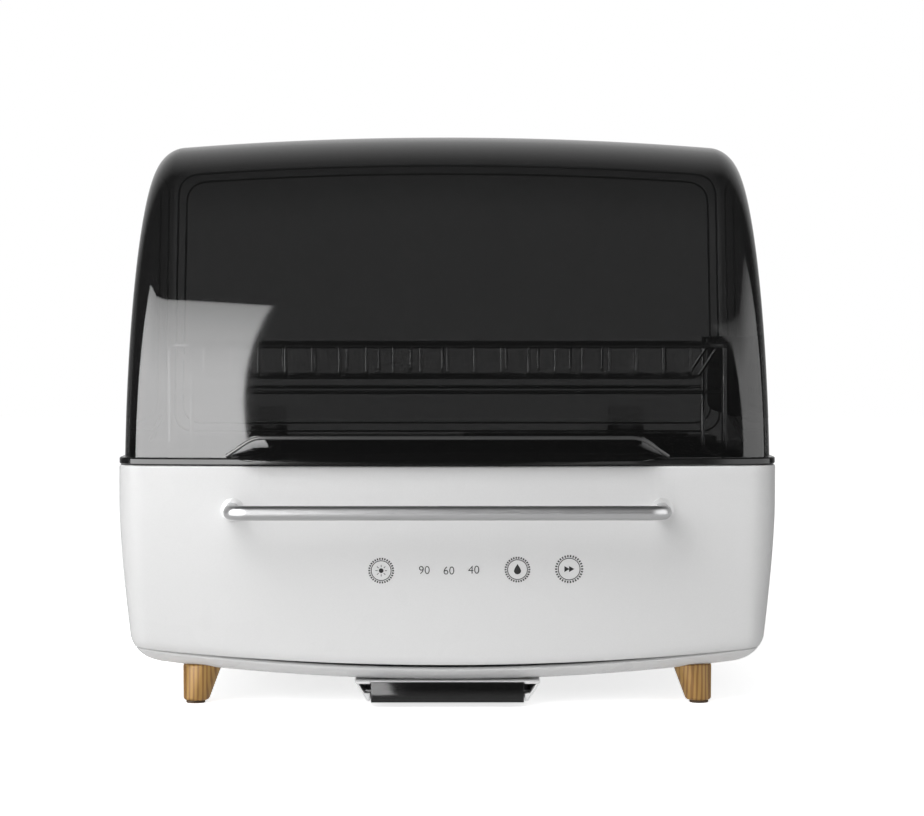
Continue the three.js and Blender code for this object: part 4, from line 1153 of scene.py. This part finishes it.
    def build(self) -> None:
        """Build the lid's pieces."""
        recast = self.shop.recast
        self.shop.place(self.dome(), SMOKED, "lid", "smoked_dome", ["lid"])
        self.shop.place(self.finger_lip(), SMOKED, "lid", "smoked_dome")
        self.shop.place(self.lip_rim(), RIM, "lid", "smoked_dome")
        self.shop.place(self.border_beads(), BEAD_PAINTED_HIGHLIGHT, "lid", "smoked_dome")
        for side in SIDES:
            recast(f"lid_strap_{side}", "bar", STEEL_PAINTED_GLINT, "lid", "polished_steel", Rounding.SHEET)
            recast(f"hinge_leaf_{side}", "moulding", TINTED, "lid", "black_plastic", Rounding.SOFT)


@dataclass
class Deck:
    """The black deck with its lamp guard, hinge brackets and small parts."""

    shop: Workshop

    def build(self) -> None:
        """Dress the deck's pieces."""
        recast = self.shop.recast
        moulding = part_copy("deck_tray", "deck_moulding")
        self.shop.place(moulding, BLACK, "cabinet", "black_deck", ["deck_tray"])
        recast("lamp_guard", "moulding", SATIN_BLACK, "cabinet", "black_plastic", Rounding.SHEET)
        for side in SIDES:
            recast(f"hinge_bracket_{side}", "moulding", SATIN_BLACK, "cabinet", "black_plastic")
        recast("rear_cover", "moulding", WHITE, "cabinet", "white_shell")
        recast("power_inlet", "moulding", BLACK, "cabinet", "black_deck", Rounding.SOFT)


@dataclass
class Drawer:
    """The drawer's handle, touch panel marks, box and grid, in millimetres.

    The places of the numbers and rings are columns and rows of the product picture. The scale, the centre
    column and the horizon row turn them into places on the face.
    """

    shop: Workshop
    hull: HullShape
    bar_radius: float = 5.2
    bar_half: float = 154.8
    bar_reach: float = 28.8
    bar_z: float = 144
    bar_bend: float = 13
    bar_sides: int = 8
    bar_bend_steps: int = 14
    bar_start: float = 2
    ink_depth: float = 0.12
    number_height: float = 8.4
    number_boldness: float = -0.08
    ring_width: float = 0.55
    ring_segments: int = 64
    ring_share: float = 0.8
    tooth_count: int = 30
    tooth_share: float = 0.85
    tooth_half: float = 0.5
    dot_radius: float = 1.7
    dot_segments: int = 24
    ray_count: int = 8
    ray_span: Place = (2.6, 4.2)
    ray_half: float = 0.22
    drop_radius: float = 2.6
    drop_segments: int = 32
    drop_shift: float = 0.8
    drop_stretch: float = 0.9
    drop_power: float = 0.6
    arrow_radius: float = 2.5
    arrow_corners: int = 3
    arrow_shifts: Place = (-2.2, 1.2)
    scale: float = 0.7284
    centre_x: float = 447.5
    horizon: float = 320
    eye_z: float = 282.5
    marks: tuple[tuple[str, float, float], ...] = (
        ("90", 424.6, 569.8), ("60", 448.9, 570.3), ("40", 473.6, 569.5),
    )
    rings: tuple[tuple[float, float, float], ...] = (
        (382, 570, 9.3), (516.8, 569, 9.3), (568, 568.7, 10.2),
    )

    def handle(self) -> Piece:
        """Build the bar with its bent ends.

        Returns:
            The bar.
        """
        foot = self.hull.front_y + self.hull.bow_at(self.bar_half) - self.bar_start
        front = self.hull.front_y - self.bar_reach
        corners = [
            (-self.bar_half, foot, self.bar_z), (-self.bar_half, front, self.bar_z),
            (self.bar_half, front, self.bar_z), (self.bar_half, foot, self.bar_z),
        ]
        steps = self.bar_bend_steps
        piece = tube("handle_bar", corners, self.bar_radius, self.bar_bend, self.bar_sides, steps=steps)
        round_edges(piece, Rounding.FINE.value)
        smooth(piece, Crease.CURVED)
        return piece

    def lay_on_face(self, piece: Piece) -> None:
        """Move a flat mark onto the drawer's curved face.

        Args:
            piece: The mark to move.
        """
        for vertex in piece.data.vertices:
            x, z = vertex.co.x / MM, vertex.co.z / MM
            vertex.co.y += (self.hull.face_at(x, z) - self.ink_depth / 2) * MM

    def place_of(self, column: float, row: float) -> Place:
        """Where a mark lies across and up the face."""
        return ((column - self.centre_x) * self.scale, self.eye_z - (row - self.horizon) * self.scale)

    def number(self, text: str, at: Place) -> Piece:
        """Build one number of minutes as a thin raised mark.

        Args:
            text: Its figures.
            at: Where it lies across and up the face.

        Returns:
            The mark, still flat.
        """
        mark = fresh(bpy.ops.object.text_add, f"mark_{text}")
        mark.data.body = text
        mark.data.size = self.number_height * MM
        mark.data.align_x, mark.data.align_y = "CENTER", "CENTER"
        mark.data.extrude = self.ink_depth / 2 * MM
        mark.data.offset = self.number_boldness * MM
        bpy.ops.object.convert(target="MESH")
        mark = named(f"mark_{text}")
        merge(mark, SAME_PLACE / 2)
        mark.rotation_euler = UPRIGHT
        mark.location = (at[0] * MM, 0, at[1] * MM)
        settle(mark)
        return mark

    def dot(self, name: str, at: Place, radius: float, count: int) -> Piece:
        """Build a round mark, or one with a few corners."""
        return disc(name, (at[0], 0, at[1]), radius, self.ink_depth, count)

    def spin(self, mark: Piece, at: Place, angle: float) -> Piece:
        """Turn a mark about a point of the face.

        Args:
            mark: The mark to turn.
            at: Where the point lies across and up the face.
            angle: How far it turns.

        Returns:
            The same mark.
        """
        centre = Vector((at[0], 0, at[1])) * MM
        turn = Matrix.Translation(centre) @ Matrix.Rotation(angle, 4, "Y")
        mark.data.transform(turn @ Matrix.Translation(-centre))
        return mark

    def dashes(self, name: str, at: Place, span: Place, half: float, count: int) -> list[Piece]:
        """Build short dashes round a centre, each pointing away from it.

        Args:
            name: The name of the new objects.
            at: Where the centre lies across and up the face.
            span: How far from the centre they start and end.
            half: Half their width.
            count: How many there are.

        Returns:
            The dashes.
        """
        (x, z), depth = at, self.ink_depth / 2
        made = []
        for i in range(count):
            mark = block(name, (x + span[0], -depth, z - half), (x + span[1], depth, z + half))
            made.append(self.spin(mark, at, 2 * math.pi * i / count))
        return made

    def ring(self, name: str, at: Place, radius: float) -> list[Piece]:
        """Build a toothed ring: a thin ring with short teeth round it.

        Args:
            name: The name of the new object.
            at: Where it lies across and up the face.
            radius: How far its teeth reach.

        Returns:
            The ring and its teeth.
        """
        inner = radius * self.ring_share
        plate = self.dot(name, at, inner, self.ring_segments)
        hole = disc("cut_ring", (at[0], 0, at[1]), inner - self.ring_width, inner, self.ring_segments)
        carve(plate, [hole])
        span = (radius * self.tooth_share, radius)
        return [plate, *self.dashes("tooth", at, span, self.tooth_half, self.tooth_count)]

    def lamp_sign(self, at: Place) -> list[Piece]:
        """Build the sign for light: a dot with rays."""
        dot = self.dot("lamp_dot", at, self.dot_radius, self.dot_segments)
        return [dot, *self.dashes("lamp_ray", at, self.ray_span, self.ray_half, self.ray_count)]

    def drop_sign(self, at: Place) -> list[Piece]:
        """Build the sign for water: a disc drawn up to a point.

        Args:
            at: Where it lies across and up the face.

        Returns:
            The drop alone.
        """
        x, foot = at[0], at[1] - self.drop_shift
        drop = self.dot("water_drop", (x, foot), self.drop_radius, self.drop_segments)
        for vertex in drop.data.vertices:
            up = vertex.co.z / MM - foot
            if up > 0:
                narrow = max(1 - up / self.drop_radius, 0) ** self.drop_power
                vertex.co.x = x * MM + (vertex.co.x - x * MM) * narrow
                vertex.co.z += up * self.drop_stretch * MM
        return [drop]

    def arrow_sign(self, at: Place) -> list[Piece]:
        """Build the sign for going on: two triangles.

        Args:
            at: Where it lies across and up the face.

        Returns:
            The triangles.
        """
        tips = [(at[0] + shift, at[1]) for shift in self.arrow_shifts]
        arrows = [self.dot("arrow", tip, self.arrow_radius, self.arrow_corners) for tip in tips]
        return [self.spin(arrow, tip, math.pi / 2) for arrow, tip in zip(arrows, tips)]

    def panel_marks(self) -> Piece:
        """Build every mark of the touch panel as one thin piece.

        Returns:
            The marks, laid on the drawer's face.
        """
        made = [self.number(text, self.place_of(column, row)) for text, column, row in self.marks]
        for number, (column, row, radius) in enumerate(self.rings):
            made += self.ring(f"key_ring_{number}", self.place_of(column, row), radius)
        for sign, (column, row, _) in zip((self.lamp_sign, self.drop_sign, self.arrow_sign), self.rings):
            made += sign(self.place_of(column, row))
        piece = join("panel_marks", made)
        self.lay_on_face(piece)
        return piece

    def build(self) -> None:
        """Build and dress the drawer's pieces."""
        self.shop.place(self.handle(), BRUSHED, "drawer", "brushed_steel", ["drawer_handle"])
        self.shop.place(self.panel_marks(), INK, "drawer", "black_plastic")
        recast = self.shop.recast
        for side in SIDES:
            recast(f"handle_rosette_{side}", "disc", ROSETTE_PAINTED_REFLECTION, "drawer", "polished_steel", Rounding.FINE)
        recast("drawer_box", "moulding", GREY, "drawer", "grey_plastic", Rounding.WIDE)
        recast("drawer_grid", "plate", BRUSHED, "drawer", "brushed_steel", Rounding.SHEET)


@dataclass
class Rack:
    """The wire dish rack and the cutlery basket on its right rail, in millimetres."""

    shop: Workshop
    half: float = 207
    front_y: float = -93.15
    depth: float = 206
    rail_z: float = 262
    wire: float = 2.2
    inner_wire: float = 2.05
    thin: float = 1.5
    floor_z: float = 239
    low_z: float = 227
    corner: float = 16
    bend: float = 5
    rail_sides: int = 4
    rail_steps: int = 8
    thin_sides: int = 2
    front_count: int = 19
    front_pitch: float = 20
    rear_count: int = 14
    rear_pitch: float = 26
    rear_shift: float = 9
    reach: float = 88
    cross_share: float = 0.7
    leg_foot: float = 175.5
    basket_x: Place = (209.5, 227)
    basket_y: Place = (-63.15, 92.85)
    basket_z: Place = (208, 268)
    basket_wall: float = 1.6
    basket_round: float = 7.5
    basket_segments: int = 7
    hole_count: int = 7
    hole_pitch: float = 19
    hole_radius: float = 3.4
    hole_segments: int = 20
    hole_z: float = 236
    hole_reach: float = 40
    hook_reach: float = 39
    hook_width: float = 19
    hook_gap: float = 0.3
    hook_root: float = 1
    hook_drop: float = 3

    def frame_wires(self) -> list[Piece]:
        """Build the rack's rail, legs, low wires and cross wires.

        Returns:
            The wires.
        """
        half, top, foot = self.half, self.rail_z, self.leg_foot
        ahead, behind = self.front_y, self.front_y + self.depth
        rail = [(-half, ahead, top), (half, ahead, top), (half, behind, top), (-half, behind, top)]
        made = [
            tube("rail", rail, self.wire, self.corner, self.rail_sides, closed=True, steps=self.rail_steps)
        ]
        near, far = ahead + self.corner, behind - self.corner
        for x in (-half, half):
            leg = [(x, near, top), (x, near, foot), (x, far, foot), (x, far, top)]
            made.append(tube("leg", leg, self.inner_wire, self.corner))
        for y in (near, far):
            made.append(tube("low_wire", [(-half, y, self.low_z), (half, y, self.low_z)], self.thin))
        crossing, inner, low = self.reach * self.cross_share, half - self.corner, self.floor_z - self.thin
        for y in (ahead + crossing, behind - crossing):
            run = [(-half, y, top), (-inner, y, low), (inner, y, low), (half, y, top)]
            made.append(tube("cross_wire", run, self.thin, self.bend, self.thin_sides))
        return made

    def dividers(self) -> list[Piece]:
        """Build both rows of dividers, which bend in under the dishes.

        Returns:
            The dividers.
        """
        made = []
        for count, pitch, shift, y, inward in (
            (self.front_count, self.front_pitch, 0.0, self.front_y, 1),
            (self.rear_count, self.rear_pitch, self.rear_shift, self.front_y + self.depth, -1),
        ):
            for i in range(count):
                x = (i - (count - 1) / 2) * pitch + shift
                end = y + inward * self.reach
                divider = [(x, y, self.rail_z), (x, y, self.floor_z), (x, end, self.floor_z)]
                made.append(tube("divider", divider, self.thin, self.bend, self.thin_sides))
        return made

    def wires(self) -> Piece:
        """Join the rack's wires into one piece.

        Returns:
            The rack.
        """
        piece = join("dish_rack_wires", self.frame_wires() + self.dividers())
        smooth(piece, Crease.TURNED)
        return piece

    def hole_cutter(self) -> Piece:
        """Build the bars that cut both rows of the basket's holes.

        Returns:
            The bars as one object.
        """
        middle_x, middle_y = (sum(side) / 2 for side in (self.basket_x, self.basket_y))
        bars = []
        for row in (-1, 1):
            for i in range(self.hole_count):
                y = middle_y + (i - (self.hole_count - 1) / 2) * self.hole_pitch
                z = self.hole_z + row * self.hole_pitch / 2
                bar = disc("cut_hole", (0, 0, 0), self.hole_radius, self.hole_reach, self.hole_segments)
                turn = Matrix.Translation(Vector((middle_x, y, z)) * MM)
                bar.data.transform(turn @ Matrix.Rotation(math.pi / 2, 4, "Z"))
                bars.append(bar)
        return join("cut_holes", bars)

    def hooks(self) -> list[Piece]:
        """Build the two hooks that hang the basket on the rail.

        Returns:
            Each hook's plate and tip.
        """
        made = []
        top, thick = self.basket_z[1], self.basket_wall
        far_x = self.half - self.wire - self.hook_gap
        for side in (-1, 1):
            y = (self.basket_y[0] + self.basket_y[1]) / 2 + side * self.hook_reach
            near, far = y - self.hook_width / 2, y + self.hook_width / 2
            root = (self.basket_x[0] + self.hook_root, far, top)
            made.append(block("hook", (far_x - thick, near, top - thick), root))
            low = (far_x - thick, near, self.rail_z - self.hook_drop)
            made.append(block("hook_tip", low, (far_x, far, top)))
        return made

    def basket(self) -> Piece:
        """Build the cutlery basket: a rounded trough with holes along both sides and two hooks.

        Returns:
            The basket.
        """
        low = (self.basket_x[0], self.basket_y[0], self.basket_z[0])
        high = (self.basket_x[1], self.basket_y[1], self.basket_z[1])
        piece = block("cutlery_basket_trough", low, high)
        top = self.basket_z[1] * MM

        def open_top() -> None:
            """Delete the block's top face."""
            bpy.ops.mesh.select_all(action="DESELECT")
            bpy.ops.object.mode_set(mode="OBJECT")
            for face in piece.data.polygons:
                face.select = face.center.z > top - SAME_PLACE
            bpy.ops.object.mode_set(mode="EDIT")
            bpy.ops.mesh.select_mode(type="FACE")
            bpy.ops.mesh.delete(type="FACE")

        edit(piece, open_top)
        round_edges(piece, self.basket_round, self.basket_segments)
        modify(piece, "SOLIDIFY", thickness=self.basket_wall * MM, offset=-1, use_even_offset=True)
        carve(piece, [self.hole_cutter()])
        for hook in self.hooks():
            modify(piece, "BOOLEAN", object=hook, operation="UNION", solver="EXACT")
            bpy.data.objects.remove(hook)
        round_edges(piece, Rounding.FINE.value)
        smooth(piece)
        return piece

    def build(self) -> None:
        """Build and dress the rack and the basket."""
        self.shop.place(self.wires(), POLISHED, "rack", "polished_steel", ["dish_rack"])
        self.shop.place(self.basket(), SATIN_BLACK, "basket", "black_plastic", ["cutlery_basket"])


@dataclass
class Stand:
    """The feet, their pads, the drip tray and its bracket, in millimetres."""

    shop: Workshop
    foot_x: float = 178
    rows_y: tuple[Place, Place] = ((-111.15, -1), (132.85, 1))
    splay: float = 7
    top_radius: float = 16.5
    end_radius: float = 8.9
    end_round: float = 2.2
    end_segments: int = 5
    side_count: int = 64
    foot_z: float = 1.9
    seat_z: float = 29
    full_z: float = 39.4

    def foot(self, name: str, side: int, y: float, away: int) -> Piece:
        """Build one tapered, splayed foot with a rounded end.

        Args:
            name: The name of the new object.
            side: -1 for the left and 1 for the right.
            y: Where its full top lies.
            away: Which way it splays fore and aft.

        Returns:
            The foot.
        """
        piece = fresh(bpy.ops.mesh.primitive_cylinder_add, name, vertices=self.side_count, radius=1, depth=1)
        for vertex in piece.data.vertices:
            upper = vertex.co.z > 0
            share = (self.seat_z if upper else self.foot_z) / self.full_z
            radius = self.end_radius + (self.top_radius - self.end_radius) * share
            vertex.co = Vector((
                side * (self.foot_x + self.splay * (1 - share)) + vertex.co.x * radius,
                y + away * self.splay / 2 * (1 - share) + vertex.co.y * radius,
                self.seat_z if upper else self.foot_z,
            )) * MM
        round_edges(piece, self.end_round, self.end_segments)
        smooth(piece, Crease.TURNED)
        return piece

    def build(self) -> None:
        """Build the feet and dress the tray."""
        number = 0
        for y, away in self.rows_y:
            for side in (-1, 1):
                number += 1
                foot = self.foot(f"wood_foot_{number}", side, y, away)
                self.shop.place(foot, TIMBER, "cabinet", "wood", [f"foot_{number}"])
                pad = part_copy(f"foot_pad_{number}", f"rubber_pad_{number}", Rounding.SHEET)
                self.shop.place(pad, RUBBER, "cabinet", "rubber", [f"foot_pad_{number}"])
        recast = self.shop.recast
        recast("drip_bracket", "moulding", WHITE, "cabinet", "white_shell", Rounding.FINE)
        recast("drip_tray", "moulding", SMOKED_TRAY, "drip_tray", "smoked_tray", Rounding.FINE)


@dataclass
class Equipment:
    """The parts that stay as they were packed, each with its own finish."""

    shop: Workshop
    cover_screws: int = 4

    def build(self) -> None:
        """Dress the parts inside and behind the base."""
        self.shop.dress(["bulkhead", "drain_pipe", "switch_plunger"], GREY)
        self.shop.dress([f"lamp_holder_{side}" for side in SIDES], GREY)
        self.shop.dress(["fan_housing", "fan_impeller", "lid_switch"], SATIN_BLACK)
        for part in ("slide_rail", "slide_runner", "hinge_pin", "handle_screw"):
            self.shop.dress([f"{part}_{side}" for side in SIDES], ZINC)
        self.shop.dress([f"cover_screw_{i + 1}" for i in range(self.cover_screws)] + ["fan_motor"], ZINC)
        self.shop.dress(["heater_core"], CERAMIC)
        self.shop.dress(["uv_lamp"], LAMP)
        self.shop.dress(["power_board", "touch_board"], BOARD)


@dataclass(frozen=True)
class Panel:
    """A soft lamp: where it stands and faces, its size in metres and its power in watts."""

    name: str
    place: Point
    target: Point
    size: Place
    power: float


@dataclass(frozen=True)
class Card:
    """A glowing card: its name, the ends of its foot and of its top, its heights and its glow at both."""

    name: str
    foot: tuple[Place, Place]
    top: tuple[Place, Place]
    heights: Place
    glow: Place

    @property
    def corners(self) -> list[Point]:
        """Its four corners, along the foot and then along the top."""
        return [(*end, z) for ends, z in zip((self.foot, self.top), self.heights) for end in ends]


@dataclass(frozen=True)
class Ramp:
    """How the reflected room brightens along an axis: where it starts and ends, and its light there."""

    axis: str
    start: float
    end: float
    low: float
    high: float


@dataclass
class Studio:
    """The floor, the lights, the backdrop and the camera."""

    distance: float = 2.0
    plane_y: float = -0.135
    eye_z: float = 0.278
    aim_x: float = 0.0106
    aim_z: float = 0.217
    focal: float = 107.4
    floor_lift: float = 0.75
    even: float = 0.31
    fade_from: float = 1.1
    room: tuple[Ramp, Ramp] = (Ramp("Y", 0.62, 1.0, 0.035, 0.62), Ramp("Z", -0.02, -0.3, 0.0, 0.68))
    floor_size: float = 12
    floor_grey: float = 0.92
    floor_rough: float = 0.9
    sensor: float = 36
    panels: tuple[Panel, ...] = (
        Panel("panel_left", (-1.5, -1.8, 1.5), (-0.1, 0.0, 0.15), (1.9, 2.4), 30.5),
        Panel("panel_top", (-0.8, -1.7, 2.2), (0, 0, 0.1), (2.4, 1.6), 27),
    )
    cards: tuple[Card, ...] = (
        Card(
            "card_left", ((-2.4, -0.6), (-0.565, -1.97)), ((-2.4, -0.6), (-0.74, -1.85)),
            (-0.42, 2.85), (7.5, 3.7),
        ),
        Card(
            "card_right", ((0.94, -1.78), (2.0, 0.35)), ((0.98, -1.76), (2.0, 0.35)),
            (-0.2, 2.2), (1.8, 0.3),
        ),
    )

    def camera(self) -> None:
        """Set the camera at the product picture's height and distance."""
        place = (0.0, self.plane_y - self.distance, self.eye_z)
        camera = fresh(bpy.ops.object.camera_add, "Camera", location=place)
        aim(camera, (self.aim_x, self.plane_y, self.aim_z))
        camera.data.lens = self.focal
        camera.data.sensor_width = self.sensor
        bpy.context.scene.camera = camera

    def lamp(self, panel: Panel) -> None:
        """Add a soft rectangular lamp that doesn't show in reflections.

        Args:
            panel: The lamp that is wanted.
        """
        lamp = fresh(bpy.ops.object.light_add, panel.name, type="AREA", location=panel.place)
        lamp.data.shape = "RECTANGLE"
        lamp.data.size, lamp.data.size_y = panel.size
        lamp.data.energy = panel.power
        lamp.visible_glossy = False
        aim(lamp, panel.target)

    def card(self, wanted: Card) -> None:
        """Add a glowing card that shows in reflections only.

        Args:
            wanted: The card that is wanted.
        """
        card = fresh(bpy.ops.mesh.primitive_plane_add, wanted.name, size=2)
        for vertex in card.data.vertices:
            vertex.co = wanted.corners[(vertex.co.x > 0) + 2 * (vertex.co.y > 0)]
        material = bpy.data.materials.new(wanted.name)
        material.use_nodes = True
        material.node_tree.nodes.clear()
        wiring = Wiring(material.node_tree)
        split = wiring.add("SeparateXYZ", {0: wiring.add("TexCoord").outputs["Object"]})
        glow = wiring.fade(split.outputs["Z"], self.fade_from, wanted.heights[1], *wanted.glow)
        light = wiring.add("Emission", {"Strength": glow})
        wiring.add("OutputMaterial", {"Surface": light.outputs[0]})
        card.data.materials.append(material)
        card.visible_camera = card.visible_diffuse = card.visible_shadow = False
        card.visible_transmission = card.visible_volume_scatter = False

    def world(self) -> None:
        """Light the scene evenly, show white behind the object and a dark room in its reflections."""
        world = bpy.data.worlds.new("studio")
        bpy.context.scene.world = world
        world.use_nodes = True
        world.node_tree.nodes.clear()
        wiring = Wiring(world.node_tree)
        path = wiring.add("LightPath").outputs
        across = wiring.add("SeparateXYZ", {0: wiring.add("TexCoord").outputs["Generated"]}).outputs

        def larger(first: Socket, second: Socket) -> Socket:
            """The larger of two values."""
            return wiring.sum_up("MAXIMUM", first, second)

        room = larger(*(wiring.fade(across[r.axis], r.start, r.end, r.low, r.high) for r in self.room))
        seen = larger(path["Is Camera Ray"], path["Is Transmission Ray"])
        even, shown = (
            wiring.add("Background", {"Color": (1, 1, 1, 1), "Strength": strength}).outputs[0]
            for strength in (self.even, larger(room, seen))
        )
        mix = wiring.add("MixShader", {0: larger(seen, path["Is Glossy Ray"]), 1: even, 2: shown})
        wiring.add("OutputWorld", {"Surface": mix.outputs[0]})

    def floor(self) -> None:
        """Lay a plain pale floor that keeps the object's shadow."""
        floor = fresh(bpy.ops.mesh.primitive_plane_add, "studio_floor", size=self.floor_size)
        material = bpy.data.materials.new("pale_floor")
        material.use_nodes = True
        wiring = Wiring(material.node_tree)
        lift = wiring.sum_up("MULTIPLY", wiring.add("LightPath").outputs["Is Camera Ray"], self.floor_lift)
        wiring.feed(material.node_tree.nodes["Principled BSDF"], {
            "Base Color": (*grey(self.floor_grey), 1), "Roughness": self.floor_rough,
            "Specular IOR Level": 0.0, "Emission Color": (1, 1, 1, 1), "Emission Strength": lift,
        })
        floor.data.materials.append(material)
        floor.visible_glossy = False

    def build(self) -> None:
        """Set up the studio."""
        bpy.context.scene.view_settings.view_transform = "Standard"
        self.camera()
        self.world()
        self.floor()
        for panel in self.panels:
            self.lamp(panel)
        for card in self.cards:
            self.card(card)


def main() -> None:
    """Build the studio and the cabinet in order."""
    logging.basicConfig(level=logging.INFO, format="%(message)s")
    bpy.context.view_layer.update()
    shop, hull = Workshop(), HullShape()
    Studio().build()
    for assembly in (
        WhiteBase(shop, hull), SmokedLid(shop, hull), Deck(shop), Drawer(shop, hull), Rack(shop),
        Stand(shop), Equipment(shop),
    ):
        assembly.build()


if __name__ == "__main__":
    main()
